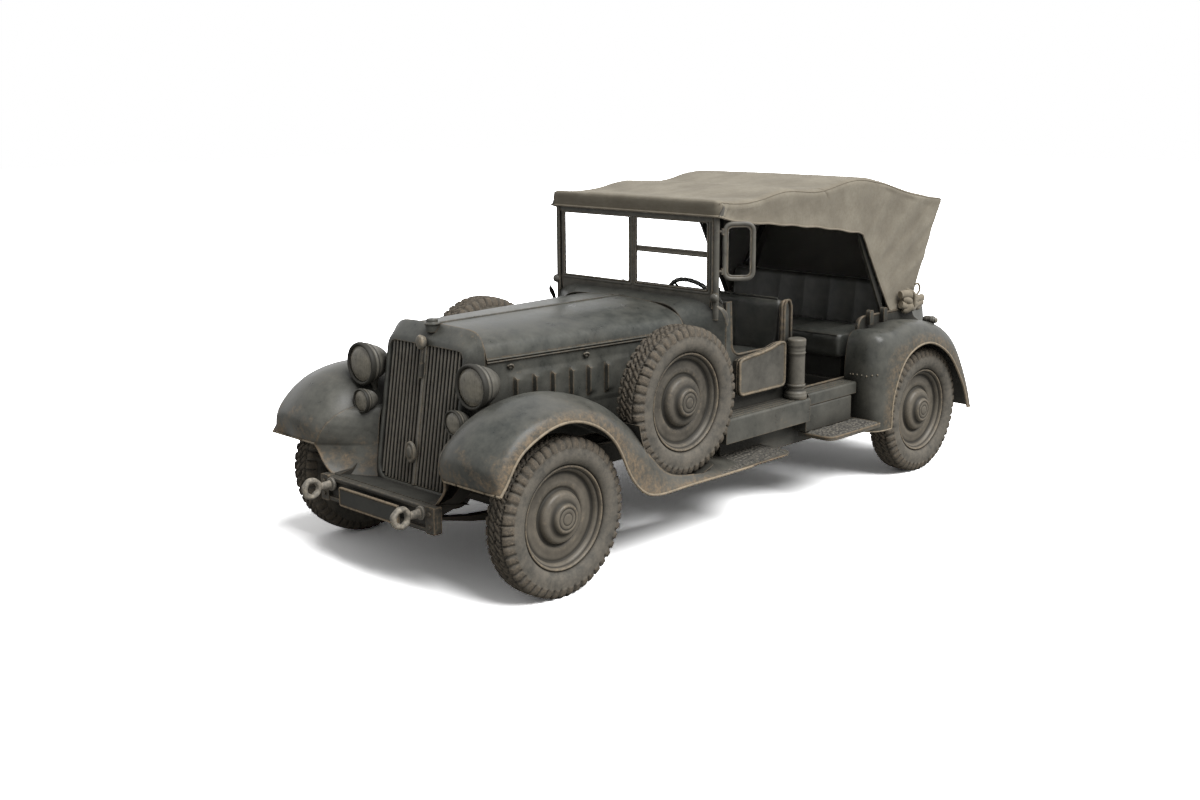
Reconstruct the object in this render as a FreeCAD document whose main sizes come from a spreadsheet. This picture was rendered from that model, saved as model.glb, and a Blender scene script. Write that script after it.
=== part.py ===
import FreeCAD, Part
import math
import os

import Sketcher
from FreeCAD import Placement, Rotation, Vector

# An open four-wheel-drive staff car with a canvas hood and two side-mounted spare wheels.
# X points forward, Y to the left, Z up; the origin is on the ground in the middle of the car.
# Every length is in millimetres. Places along the car are given from the front axle.

doc = FreeCAD.newDocument("army_car")
sheet = doc.addObject("Spreadsheet::Sheet", "Sizes")

# The driving sizes: name, value, what it is
SIZES = (
    ("front_axle_x", 1565, "front axle, ahead of the origin"),
    ("wheel_base", 3100, "front axle to rear axle"),
    ("wheel_track", 1540, "left tyre centre to right tyre centre"),
    ("seat_gap", 0.3, "gap left between pieces that touch on curved or separate faces"),
    ("move_gap", 5, "clearance of moving panels"),
    # wheels
    ("tyre_radius", 390, "outer radius over the lugs"),
    ("tyre_width", 172, "tyre width at the side walls"),
    ("tread_width", 142, "width of the tread"),
    ("tyre_wall", 128, "height of a tyre's side wall"),
    ("rim_radius", "=tyre_radius - tyre_wall", "radius of the rim seat"),
    ("facet_gap", 3, "gap that lets the disc's facets pass inside the tyre's"),
    ("rim_width", 120, "width of the rim"),
    ("rim_lip", 12, "height of the rolled rim edge"),
    ("disc_recess", 40, "depth of the dished disc inside the rim edge"),
    ("disc_plate", 40, "thickness of the disc and its hub flange"),
    ("dish_inset", 40, "outer edge of the flat dish, inside the rim seat"),
    ("dish_radius", "=rim_radius - dish_inset", "outer radius of the flat dish"),
    ("hub_radius", 122, "radius of the domed hub"),
    ("hub_rise", 30, "rise of the hub over the dish"),
    ("cap_radius", 64, "radius of the centre cap"),
    ("cap_rise", 28, "rise of the cap over the hub"),
    ("spindle_radius", 26, "radius of the wheel spindle"),
    ("spindle_depth", 50, "how far the spindle goes into the disc"),
    # frame
    ("rail_mid", 390, "frame rail centre, from the middle"),
    ("rail_width", 60, "width of a frame rail"),
    ("rail_depth", 110, "depth of a frame rail"),
    ("rail_rise", 50, "underside of the rails amidships, above the wheel centres"),
    ("rail_low", "=tyre_radius + rail_rise", "underside of the rails amidships"),
    ("arch_rise", 125, "underside of the rails over the axles, above the wheel centres"),
    ("rail_arch", "=tyre_radius + arch_rise", "underside of the rails over the axles"),
    ("rail_overhang", 540, "rear end of the rails, behind the rear axle"),
    ("rail_tail", "=-wheel_base - rail_overhang", "rear end of the rails"),
    ("cross_size", 60, "side of a cross member"),
    ("hitch_bore", 20, "radius of the bore in the rear hitch"),
    ("hitch_round", 60, "radius of the hitch's jaw"),
    ("engine_half", 170, "half width of the engine"),
    ("engine_front", -140, "front of the engine"),
    ("engine_rear", -820, "rear of the engine"),
    ("engine_low", "=rail_low + 140", "underside of the engine block"),
    ("engine_top", 1010, "top of the engine"),
    ("gearbox_half", 110, "half width of the gearbox"),
    ("gearbox_rear", -1650, "rear of the gearbox"),
    ("shaft_radius", 22, "radius of a propeller shaft"),
    ("pipe_radius", 24, "radius of the exhaust pipe"),
    ("pipe_y", -250, "exhaust pipe, from the middle"),
    ("pipe_z", "=tyre_radius + 10", "height of the exhaust pipe"),
    ("muffler_radius", 62, "radius of the muffler"),
    # axles
    ("axle_tube", 40, "radius of the axle tubes"),
    ("axle_ball", 112, "radius of the differential housing"),
    ("kingpin_inset", 130, "kingpin, inboard of the middle of its tyre"),
    ("kingpin_y", "=wheel_track / 2 - kingpin_inset", "kingpin, from the middle"),
    ("kingpin_radius", 12, "radius of a kingpin"),
    ("pin_play", 0.05, "running clearance of a pin in its bore"),
    ("yoke_width", 70, "width of a yoke ear"),
    ("yoke_reach", 98, "end of a yoke ear, above or below the wheel centre"),
    ("yoke_low", "=tyre_radius - yoke_reach", "underside of the lower yoke ear"),
    ("yoke_high", "=tyre_radius + yoke_reach", "top of the upper yoke ear"),
    ("ear_height", 38, "height of one ear"),
    ("drum_radius", 150, "brake drum radius"),
    ("drum_inset", 72, "inner face of a brake drum, inboard of the middle of its tyre"),
    ("drum_inner", "=wheel_track / 2 - drum_inset", "inner face of a brake drum, from the middle"),
    ("drum_width", 48, "width of a brake drum"),
    ("arm_length", 170, "kingpin to tie rod eye"),
    ("arm_rise", 52, "top of a steering arm, above the wheel centre"),
    ("arm_level", "=tyre_radius + arm_rise", "top of a steering arm"),
    ("arm_thick", 22, "thickness of a steering arm"),
    ("rod_radius", 10, "radius of the tie rod"),
    ("rod_eye", 20, "outer radius of a tie rod eye"),
    ("rod_pin", 8, "radius of a steering arm's pin"),
    ("spring_half", 420, "axle to spring eye"),
    ("spring_width", 50, "width of a leaf spring"),
    ("spring_rise", 50, "rise of a spring from its middle to its eyes"),
    ("spring_thick", 41, "thickness of a spring at the axle"),
    # nose
    ("shell_half", 310, "half width of the radiator shell at the front"),
    ("shell_rear_half", 352, "half width of the shell at the bonnet"),
    ("shell_top", 1158, "top of the shell at the front"),
    ("shell_foot", 408, "foot of the shell"),
    ("shell_front_top", 128, "front of the shell at its top"),
    ("shell_front_foot", 248, "front of the shell at its foot"),
    ("shell_rear", 52, "rear of the shell"),
    ("shell_wall", 26, "wall of the shell"),
    ("bonnet_top", 1230, "top of the bonnet"),
    ("bonnet_edge", 1083, "lower edge of a bonnet leaf"),
    ("bonnet_rear", -1240, "rear edge of the bonnet"),
    ("bonnet_rear_half", 492, "half width of the bonnet at the rear"),
    ("bonnet_sheet", 9, "thickness of a bonnet leaf"),
    ("hinge_half", 9, "half width of the bonnet's centre hinge"),
    ("panel_foot", 620, "lower edge of a bonnet side panel"),
    ("panel_sheet", 12, "thickness of a bonnet side panel"),
    ("louver_count", 5, "louvers on a side panel"),
    ("louver_pitch", 130, "louver to louver"),
    ("louver_first", -135, "first louver, from the front axle"),
    ("grille_bars", 20, "bars of the grille"),
    ("grille_bar", 13, "width of a grille bar"),
    ("grille_depth", 22, "depth of a grille bar"),
    ("grille_core", 50, "thickness of the radiator core"),
    # bumper
    ("bumper_half", 450, "half length of the bumper"),
    ("bumper_front", 472, "front of the bumper"),
    ("bumper_depth", 42, "depth of the bumper"),
    ("bumper_low", 332, "underside of the bumper"),
    ("bumper_high", 462, "top of the bumper"),
    ("tow_y", 358, "tow eye, from the middle"),
    ("tow_x", 595, "tow eye centre"),
    ("tow_z", 425, "height of the tow eye centre"),
    ("tow_radius", 56, "outer radius of a tow eye"),
    ("tow_bore", 27, "bore radius of a tow eye"),
    ("tow_thick", 34, "thickness of a tow eye"),
    ("board_half", 234, "half length of the blank front board"),
    ("board_front", 523, "front of the board"),
    ("board_low", 347, "lower edge of the board"),
    ("board_high", 442, "upper edge of the board"),
    # fenders
    ("fender_sheet", 10, "thickness of a fender"),
    ("fender_reach", 130, "outer lip of a fender, beyond the middle of its tyre"),
    ("fender_outer", "=wheel_track / 2 + fender_reach", "outer lip of a fender"),
    ("step_rear", -1700, "rear end of the front step plate"),
    ("step_inset", 93, "inner edge of the front step plate, inboard of the body side"),
    ("step_top", 401, "top of the front step plate"),
    ("spare_x", -880, "spare wheel centre"),
    ("spare_reach", 112, "spare wheel centre, beyond the body side"),
    ("spare_y", "=side_outer + spare_reach", "spare wheel centre, from the middle"),
    ("spare_z", 800, "height of the spare wheel centre"),
    # body
    ("body_inset", 125, "body side, inboard of the middle of the rear tyre"),
    ("side_outer", "=wheel_track / 2 - body_inset", "outer face of the body side"),
    ("side_wall", 25, "thickness of the body side"),
    ("side_foot", 560, "lower edge of the body side"),
    ("cowl_rear", -1400, "rear edge of the cowl"),
    ("cowl_top", 1256, "top of the cowl at the windscreen"),
    ("cowl_sheet", 12, "thickness of the cowl"),
    ("front_sill", 935, "lower edge of the front opening"),
    ("rear_sill", 655, "lower edge of the rear opening"),
    ("pillar_front", -1900, "front of the middle pillar"),
    ("pillar_rear", -1980, "rear of the middle pillar"),
    ("pillar_top", 1185, "top of the middle pillar"),
    ("quarter_lead", 440, "front of the rear quarter, ahead of the rear axle"),
    ("quarter_front", "=quarter_lead - wheel_base", "front of the rear quarter"),
    ("quarter_top", 1000, "top of the rear quarter"),
    ("tail_overhang", 460, "rear face of the body, behind the rear axle"),
    ("tail_x", "=-wheel_base - tail_overhang", "rear face of the body"),
    ("deck_depth", 370, "depth of the rear deck"),
    ("floor_sheet", 20, "thickness of the floor"),
    ("step_lead", 540, "step of the floor, ahead of the rear axle"),
    ("floor_step", "=step_lead - wheel_base", "step of the floor"),
    # seats
    ("bench_gap", 30, "bench to body side"),
    ("seat_half", "=side_outer - side_wall - bench_gap", "half width of the benches"),
    ("front_seat_x", -1900, "front of the front seat back"),
    ("rear_seat_lead", 140, "front of the rear seat back, ahead of the rear axle"),
    ("rear_seat_x", "=rear_seat_lead - wheel_base", "front of the rear seat back"),
    ("cushion_depth", 420, "depth of a cushion"),
    ("cushion_thick", 150, "thickness of a cushion"),
    ("back_thick", 110, "thickness of a seat back"),
    ("back_top", 1190, "top of a seat back"),
    ("front_cushion_top", 900, "top of the front cushion"),
    ("rear_cushion_top", 910, "top of the rear cushion"),
    # windscreen
    ("screen_x", -1352, "front of the windscreen frame"),
    ("screen_inset", 67, "end of the windscreen frame, inboard of the body side"),
    ("screen_half", "=side_outer - screen_inset", "half width of the windscreen frame"),
    ("screen_low", 1262, "foot of the windscreen frame"),
    ("screen_high", 1690, "top of the windscreen frame"),
    ("screen_bar", 30, "width of a windscreen bar"),
    ("screen_depth", 28, "depth of the windscreen frame"),
    ("post_width", 46, "width of the middle post"),
    ("glass_sheet", 6, "thickness of the glass"),
    ("wing_height", 240, "height of a wind wing"),
    ("wing_width", 135, "width of a wind wing"),
    ("wing_low", 1400, "lower edge of a wind wing"),
    ("wing_bar", 18, "bar of a wind wing"),
    ("wing_splay", 42, "splay of a wind wing in degrees"),
    # steering
    ("wheel_ring", 190, "radius of the steering wheel"),
    ("ring_bar", 14, "radius of the steering wheel's ring"),
    ("helm_x", -1610, "steering wheel centre"),
    ("helm_y", 270, "steering wheel centre, from the middle"),
    ("helm_z", 1160, "height of the steering wheel centre"),
    ("helm_rake", 35, "rise of the steering column in degrees"),
    ("column_radius", 20, "radius of the steering column"),
    # hood
    ("hood_sheet", 12, "thickness of the canvas"),
    ("hood_inset", 9, "side of the hood, inboard of the body side"),
    ("hood_half", "=side_outer - hood_inset", "half width of the hood"),
    ("hood_edge", 40, "bevel along the hood's edges"),
    ("hood_front", -1340, "front edge of the hood"),
    ("bow_size", 26, "thickness of a hood bow"),
    # lamps
    ("stalk_radius", 16, "radius of a lamp's stalk"),
    ("bean_reach", 137, "tail lamp, beyond the body side"),
    ("bean_z", 935, "height of the tail lamps"),
    ("lamp_y", 431, "headlamp, from the middle"),
    ("lamp_front", 218, "front of a headlamp"),
    ("lamp_z", 993, "height of a headlamp"),
    ("lamp_radius", 110, "radius of a headlamp rim"),
    ("lamp_depth", 170, "depth of a headlamp"),
    ("glass_radius", 92, "radius of a headlamp glass"),
    ("small_y", 362, "small lamp, from the middle"),
    ("small_front", 275, "front of a small lamp"),
    ("small_z", 819, "height of a small lamp"),
    ("small_radius", 62, "radius of a small lamp rim"),
    ("small_depth", 100, "depth of a small lamp"),
    ("small_glass", 49, "radius of a small lamp glass"),
    # stowage
    ("sill_box_low", 500, "underside of the sill box"),
    ("sill_box_top", 635, "top of the sill box"),
    ("sill_box_depth", 135, "depth of the sill box"),
    ("sill_plank_depth", 105, "depth of the box and plank behind it"),
    ("skirt_depth", 17, "depth of the skirt under the boxes"),
    ("sill_step_inset", 55, "inner edge of the rear step plate, outside the body side"),
    ("sill_step_reach", 285, "outer edge of the rear step plate, outside the body side"),
    ("post_depth", 30, "depth of a quarter post"),
    ("plank_low", 430, "underside of the plank behind the sill box"),
    ("plank_top", 580, "top of the plank"),
    ("skirt_low", 345, "lower edge of the skirt"),
    ("post_foot", 955, "foot of a quarter post"),
    ("pocket_depth", 50, "depth of a stowage pocket"),
    ("pocket_wall", 7, "wall of a stowage pocket"),
    ("pocket_foot", 720, "underside of a stowage pocket"),
    ("bottle_radius", 46, "radius of the extinguisher"),
)

for row, (name, value, meaning) in enumerate(SIZES, 1):
    sheet.set("A%d" % row, name)
    sheet.set("C%d" % row, meaning)
    sheet.setAlias("B%d" % row, name)
for row, (name, value, meaning) in enumerate(SIZES, 1):
    sheet.set("B%d" % row, str(value))
doc.recompute()


class Size:
    """A size from the sheet: its value now, and the words that work it out in the document."""

    def __init__(self, words, value):
        self.words = words
        self.value = float(value)

    @staticmethod
    def of(other):
        return other if isinstance(other, Size) else Size("(%s)" % repr(float(other)), other)

    def __float__(self):
        return self.value

    def __neg__(self):
        return Size("(-%s)" % self.words, -self.value)

    def __add__(self, other):
        other = Size.of(other)
        return Size("(%s + %s)" % (self.words, other.words), self.value + other.value)

    def __sub__(self, other):
        other = Size.of(other)
        return Size("(%s - %s)" % (self.words, other.words), self.value - other.value)

    def __mul__(self, other):
        other = Size.of(other)
        return Size("(%s * %s)" % (self.words, other.words), self.value * other.value)

    def __truediv__(self, other):
        other = Size.of(other)
        return Size("(%s / %s)" % (self.words, other.words), self.value / other.value)

    def __radd__(self, other):
        return Size.of(other) + self

    def __rsub__(self, other):
        return Size.of(other) - self

    def __rmul__(self, other):
        return Size.of(other) * self


class Sizes:
    """Gives each named cell of the sheet as a Size."""

    def __getattr__(self, name):
        return Size("Sizes." + name, sheet.get(name))


s = Sizes()
nodes = []


def bind(thing, **sizes):
    """Bind an object's properties to sizes; Place_x and the like stand for Placement.Base.x."""
    for name, size in sizes.items():
        path = name.replace("Place_", "Placement.Base.")
        thing.setExpression(path, Size.of(size).words)
    return thing


def along(offset):
    """A place along the car, given from the front axle."""
    return s.front_axle_x + offset


def behind(offset):
    """A place along the car, given from the rear axle."""
    return along(offset - s.wheel_base)


def node(label, thing):
    """Name a finished sub-part."""
    thing.Label = label
    nodes.append(thing)
    return thing


def box(x0, x1, y0, y1, z0, z1):
    x0, x1, y0, y1, z0, z1 = (Size.of(v) for v in (x0, x1, y0, y1, z0, z1))
    block = doc.addObject("Part::Box", "block")
    return bind(block, Length=x1 - x0, Width=y1 - y0, Height=z1 - z0,
                Place_x=x0, Place_y=y0, Place_z=z0)


AXES = {"x": Vector(1, 0, 0), "y": Vector(0, 1, 0), "z": Vector(0, 0, 1)}


def rod(axis, radius, length, x, y, z):
    """A cylinder along an axis of the car, from the given point."""
    bar = doc.addObject("Part::Cylinder", "rod")
    bar.Placement = Placement(Vector(), Rotation(AXES["z"], AXES[axis]))
    return bind(bar, Radius=radius, Height=length, Place_x=x, Place_y=y, Place_z=z)


def fuse(*things):
    joined = doc.addObject("Part::MultiFuse", "joined")
    joined.Shapes = list(things)
    joined.Refine = True
    return joined


def cut(base, *tools):
    """Take tools away from a base."""
    taken = doc.addObject("Part::Cut", "taken")
    taken.Base = base
    taken.Tool = tools[0] if len(tools) == 1 else fuse(*tools)
    return taken


def mirror(thing):
    """The same piece on the other side of the car."""
    other = doc.addObject("Part::Mirroring", "mirrored")
    other.Source = thing
    other.Normal = AXES["y"]
    return other


def both(thing):
    """A piece and its mirror image."""
    return fuse(thing, mirror(thing))


def free(shape):
    """A shape worked out here, for forms that no primitive or sketch gives."""
    feature = doc.addObject("Part::Feature", "formed")
    feature.Shape = shape
    return feature


def sketch(body, role, points):
    """A closed outline of straight lines, every corner bound to the sheet."""
    outline = body.newObject("Sketcher::SketchObject", "outline")
    plane = [part for part in body.Origin.OriginFeatures if part.Role == role][0]
    outline.AttachmentSupport = [(plane, "")]
    outline.MapMode = "FlatFace"
    points = [(Size.of(a), Size.of(b)) for a, b in points]
    corners = [Vector(float(a), float(b), 0) for a, b in points]
    count = len(points)
    lines = [Part.LineSegment(corners[i], corners[(i + 1) % count]) for i in range(count)]
    outline.addGeometry(lines, False)
    for i in range(count):
        outline.addConstraint(Sketcher.Constraint("Coincident", i, 2, (i + 1) % count, 1))
    for i, (a, b) in enumerate(points):
        for kind, size in (("DistanceX", a), ("DistanceY", b)):
            limit = outline.addConstraint(Sketcher.Constraint(kind, -1, 1, i, 1, float(size)))
            outline.setExpression("Constraints[%d]" % limit, size.words)
    return outline


def pad(role, points, length, **place):
    """An outline on one of the body's planes, padded along the plane's normal."""
    body = doc.addObject("PartDesign::Body", "body")
    outline = sketch(body, role, points)
    step = body.newObject("PartDesign::Pad", "pad")
    step.Profile = outline
    bind(step, Length=length)
    return bind(body, **place)


def side_pad(points, y0, y1):
    """An outline in X and Z, from y0 to y1."""
    return pad("XZ_Plane", points, Size.of(y1) - y0, Place_y=y1)


def front_pad(points, x0, x1):
    """An outline in Y and Z, from x0 to x1."""
    return pad("YZ_Plane", points, Size.of(x1) - x0, Place_x=x0)


def polygon(points):
    return Part.makePolygon(points + points[:1])


def closed(faces):
    """A solid from faces that meet edge to edge."""
    solid = Part.Solid(Part.Shell(faces))
    return solid if solid.Volume > 0 else solid.reversed()


def triangle(a, b, c):
    return Part.Face(polygon([a, b, c]))


def patch(a, b, c, d):
    """A four-cornered patch: one flat face if its corners allow it, or else two triangles."""
    normal = (b - a).cross(c - a)
    if normal.Length > 0 and abs((d - a).dot(normal)) / normal.Length < 0.0001:
        return [Part.Face(polygon([a, b, c, d]))]
    return [triangle(a, b, c), triangle(a, c, d)]


def sheet_solid(outer, inner):
    """A curved sheet between two grids of points with the same rows: its faces, and its four edges."""
    rows, places = len(outer), len(outer[0])
    faces = []
    for i in range(rows - 1):
        for j in range(places - 1):
            faces += patch(outer[i][j], outer[i + 1][j], outer[i + 1][j + 1], outer[i][j + 1])
            faces += patch(inner[i][j], inner[i][j + 1], inner[i + 1][j + 1], inner[i + 1][j])
        for j in (0, places - 1):
            faces += patch(outer[i][j], inner[i][j], inner[i + 1][j], outer[i + 1][j])
    for i in (0, rows - 1):
        for j in range(places - 1):
            faces += patch(outer[i][j], inner[i][j], inner[i][j + 1], outer[i][j + 1])
    return closed(faces)


def smooth(points, count):
    """Points spread evenly along a smooth curve through the given ones."""
    spline = Part.BSplineCurve()
    spline.interpolate(points)
    first, last = spline.FirstParameter, spline.LastParameter
    return [spline.value(first + (last - first) * i / (count - 1)) for i in range(count)]


def smooth_grid(rows, across, length):
    """A grid from a few sections: smoothed across each section, then along the sheet."""
    rows = [smooth(row, across) for row in rows]
    lines = [smooth([row[j] for row in rows], length) for j in range(across)]
    return [[lines[j][i] for j in range(across)] for i in range(length)]


def faceted(axis, outline, sides, centre):
    """An outline of (place on the axis, radius) turned in flat facets whose middles lie on the radius."""
    turn = Rotation(AXES["z"], AXES[axis])
    step = 2 * math.pi / sides
    grow = 1 / math.cos(step / 2)
    outline = [(float(place), float(radius) * grow) for place, radius in outline]
    centre = Vector(*[float(c) for c in centre])

    def at(place, radius, i):
        angle = step * (i + 0.5) - math.pi / 2
        return centre + turn.multVec(Vector(radius * math.cos(angle), radius * math.sin(angle), place))

    def ring(place, radius):
        return polygon([at(place, radius, i) for i in range(sides)])
    faces = []
    for (p0, r0), (p1, r1) in zip(outline, outline[1:] + outline[:1]):
        if r0 == 0 and r1 == 0:
            continue
        if p0 == p1:
            wires = [ring(p0, radius) for radius in (max(r0, r1), min(r0, r1)) if radius > 0]
            faces.append(Part.makeFace(wires, "Part::FaceMakerBullseye"))
            continue
        for i in range(sides):
            corners = [at(p0, r0, i), at(p0, r0, i + 1), at(p1, r1, i + 1), at(p1, r1, i)]
            if r0 == 0:
                corners = corners[1:]
            elif r1 == 0:
                corners = corners[:3]
            faces.append(Part.Face(polygon(corners)))
    return free(closed(faces))


def skin(rings):
    """A solid of flat facets between outlines that have the same number of points; its ends are flat."""
    faces = [Part.Face(polygon(ring)) for ring in (rings[0], rings[-1])]
    for near, far in zip(rings[:-1], rings[1:]):
        for i in range(len(near)):
            after = (i + 1) % len(near)
            faces += patch(near[i], near[after], far[after], far[i])
    return closed(faces)


def bar(axis, radius, length, sides, *start):
    """A straight bar with flat sides, along an axis from its start."""
    return faceted(axis, [(0, 0), (0, radius), (length, radius), (length, 0)], sides, start)


def prism(start, run, radius, sides):
    """A straight bar with flat sides from its start along any run."""
    turn = Rotation(AXES["z"], run)
    ring = []
    for i in range(sides):
        angle = 2 * math.pi * i / sides
        ring.append(start + turn.multVec(Vector(radius * math.cos(angle), radius * math.sin(angle), 0)))
    return Part.Face(polygon(ring)).extrude(run)


# Wheels

# Flat facets round a tyre, round a disc and round a thick bar
TYRE_SIDES = 40
DISC_SIDES = 22
BAR_SIDES = 16


def tyre():
    half = s.tyre_width / 2
    tread = s.tread_width / 2
    bead = s.rim_width / 2 - 3
    bulge = s.rim_radius + (s.tyre_radius - s.rim_radius) * 0.5
    return [(-bead, s.rim_radius), (-half, bulge), (-tread, s.tyre_radius),
            (tread, s.tyre_radius), (half, bulge), (bead, s.rim_radius)]


def wheel_disc():
    """The disc with its rim, stepped hub and a blind bore for the spindle."""
    rim = s.rim_radius - s.facet_gap
    edge = s.rim_width / 2
    dish = edge - s.disc_recess
    back = dish - s.disc_plate
    hub = dish + s.hub_rise
    bore = s.spindle_radius
    blind = back + s.spindle_depth
    return [(back, bore), (back, rim - 30), (-edge, rim - s.rim_lip), (-edge, rim), (edge, rim),
            (edge, rim - s.rim_lip), (dish, s.dish_radius), (dish, s.hub_radius),
            (hub, s.hub_radius - 12), (hub, s.cap_radius), (hub + s.cap_rise, s.cap_radius - 6),
            (hub + s.cap_rise, 0), (blind, 0), (blind, bore)]


def wheel_pair(kind, outline, sides):
    """The left wheel's piece, and the right one as its mirror image."""
    for end, place in (("front", along(0)), ("rear", along(-s.wheel_base))):
        left = faceted("y", outline, sides, (place, s.wheel_track / 2, s.tyre_radius))
        node("%s_%s_left" % (kind, end), left)
        node("%s_%s_right" % (kind, end), mirror(left))


def wheels():
    wheel_pair("tyre", tyre(), TYRE_SIDES)
    wheel_pair("wheel_disc", wheel_disc(), DISC_SIDES)
    place = (along(s.spare_x), s.spare_y, s.spare_z)
    node("spare_tyres", both(faceted("y", tyre(), TYRE_SIDES, place)))
    node("spare_discs", both(faceted("y", wheel_disc(), DISC_SIDES, place)))


# Chassis

def frame_rail():
    """One side rail, cranked over both axles, with its spring hangers."""
    rear = along(-s.wheel_base)
    nose = along(s.bumper_front - s.bumper_depth) - s.seat_gap
    low, arch = s.rail_low, s.rail_arch
    depth = s.rail_depth
    slim = depth - 20
    outline = [
        (nose, 400 + s.seat_gap), (along(300), 430), (along(170), arch), (along(-200), arch),
        (along(-400), low), (rear + 560, low), (rear + 330, arch), (rear - 330, arch),
        (along(s.rail_tail), arch), (along(s.rail_tail), arch + slim), (rear + 300, arch + slim),
        (rear + 500, low + depth), (along(-480), low + depth), (along(-180), arch + slim),
        (along(190), arch + slim), (along(340), 480), (nose, 462)]
    inner = s.rail_mid - s.rail_width / 2
    outer = s.rail_mid + s.rail_width / 2
    eye = s.tyre_radius - s.axle_tube + s.spring_rise
    rail = side_pad(outline, inner, outer)
    hangers = []
    for x, top in ((along(-s.spring_half), low + 5), (rear + s.spring_half, low + 50),
                   (rear - s.spring_half, arch + 5)):
        hangers.append(box(x - 30, x + 30, inner, outer, eye + s.seat_gap, top))
    return fuse(rail, *hangers)


def frame():
    """Both rails with their cross members and the hitch at the rear."""
    inner = s.rail_mid - s.rail_width / 2
    side = s.cross_size
    tail = along(s.rail_tail)
    level = s.rail_arch
    beams = [(along(-300), s.engine_low - side), (along(-900), s.rail_low + 20),
             (along(-1500), s.rail_low + 20), (behind(900), s.rail_low + 20),
             (tail + 40, level + 10)]
    members = [box(x - side / 2, x + side / 2, -inner - 10, inner + 10, z, z + side) for x, z in beams]
    half = s.hitch_round
    hitch = fuse(box(tail - 30, tail + 20, -half, half, level, level + 80),
                 rod("z", half, 24, tail - 80, 0, level + 28))
    jaw = cut(hitch, rod("z", s.hitch_bore, 60, tail - 90, 0, level + 10))
    node("frame_rails", fuse(both(frame_rail()), jaw, *members))


def bumper():
    """The channel beam, its blank front board and the two tow eyes."""
    back = along(s.bumper_front - s.bumper_depth)
    front = along(s.bumper_front)
    beam = box(back, front, -s.bumper_half, s.bumper_half, s.bumper_low, s.bumper_high)
    groove = box(front - 16, front + 1, -s.bumper_half + 60, s.bumper_half - 60,
                 s.bumper_low + 24, s.bumper_high - 24)
    board = box(along(s.board_front) - 14, along(s.board_front), -s.board_half, s.board_half,
                s.board_low, s.board_high)
    stay = box(front - 20, along(s.board_front) - 10, -40, 40, s.board_low + 20, s.board_high - 20)
    half = s.tow_thick / 2
    shank = box(back + 5, along(s.tow_x), s.tow_y - half, s.tow_y + half, s.tow_z - 24, s.tow_z + 24)
    ring = rod("y", s.tow_radius, s.tow_thick, along(s.tow_x), s.tow_y - half, s.tow_z)
    bore = rod("y", s.tow_bore, s.tow_thick + 20, along(s.tow_x), s.tow_y - half - 10, s.tow_z)
    eye = cut(fuse(shank, ring), bore)
    node("bumper", fuse(cut(beam, groove), board, stay, both(eye)))


def axle(place, ball_x):
    """An axle tube with its differential housing."""
    level = s.tyre_radius
    reach = s.kingpin_y - 60
    tube = bar("y", s.axle_tube, reach * 2, BAR_SIDES, place, -reach, level)
    size = s.axle_ball
    half = [(size * 0.5, size), (size, size * 0.42), (size, 0)]
    outline = [(-x, r) for x, r in reversed(half)] + half
    ball = faceted("y", outline, BAR_SIDES, (place, 0, level))
    nose = bar("x", 45, 70, BAR_SIDES, place + ball_x, 0, level)
    return fuse(tube, ball, nose)


def front_axle():
    """The driven front axle, with a yoke at each end that holds the kingpin."""
    place = along(0)
    half = s.yoke_width / 2
    inner = s.kingpin_y - half
    outer = s.kingpin_y + half
    block = box(place - half, place + half, inner - 40, inner - 10, s.yoke_low, s.yoke_high)
    ears = [box(place - half, place + half, inner - 20, outer, z, z + s.ear_height)
            for z in (s.yoke_low, s.yoke_high - s.ear_height)]
    bore = rod("z", s.kingpin_radius + s.pin_play, s.yoke_high - s.yoke_low + 20,
               place, s.kingpin_y, s.yoke_low - 10)
    yoke = cut(fuse(block, *ears), bore)
    node("axle_front", fuse(axle(place, -s.axle_ball - 55), both(yoke)))


def spindle(place):
    """The spindle from the drum's inner face to the end of the disc's blind bore."""
    tip = s.wheel_track / 2 + s.rim_width / 2 - s.disc_recess - s.disc_plate + s.spindle_depth
    return rod("y", s.spindle_radius - s.seat_gap, tip - s.drum_inner - s.seat_gap,
               place, s.drum_inner, s.tyre_radius)


def brake_drum(place):
    outline = [(0, 0), (0, s.drum_radius), (s.drum_width, s.drum_radius), (s.drum_width, 0)]
    return faceted("y", outline, DISC_SIDES, (place, s.drum_inner, s.tyre_radius))


def knuckle():
    """The steering knuckle: kingpin, block, spindle, brake drum and steering arm."""
    place = along(0)
    y = s.kingpin_y
    low = s.yoke_low + s.ear_height + s.seat_gap
    high = s.yoke_high - s.ear_height - s.seat_gap
    block = bar("z", 28, high - low, BAR_SIDES, place, y, low)
    pin = rod("z", s.kingpin_radius, s.yoke_high - s.yoke_low, place, y, s.yoke_low)
    neck = bar("y", 42, s.drum_inner - y + 5, BAR_SIDES, place, y, s.tyre_radius)
    drum = brake_drum(place)
    arm_low = s.arm_level - s.arm_thick
    arm = box(place - s.arm_length, place, y - 15, y + 15, arm_low, s.arm_level)
    boss = rod("z", 20, s.arm_thick, place - s.arm_length, y, arm_low)
    post = rod("z", s.rod_pin, 36, place - s.arm_length, y, arm_low)
    left = fuse(block, pin, neck, drum, spindle(place), arm, boss, post)
    node("knuckle_left", left)
    node("knuckle_right", mirror(left))


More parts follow.
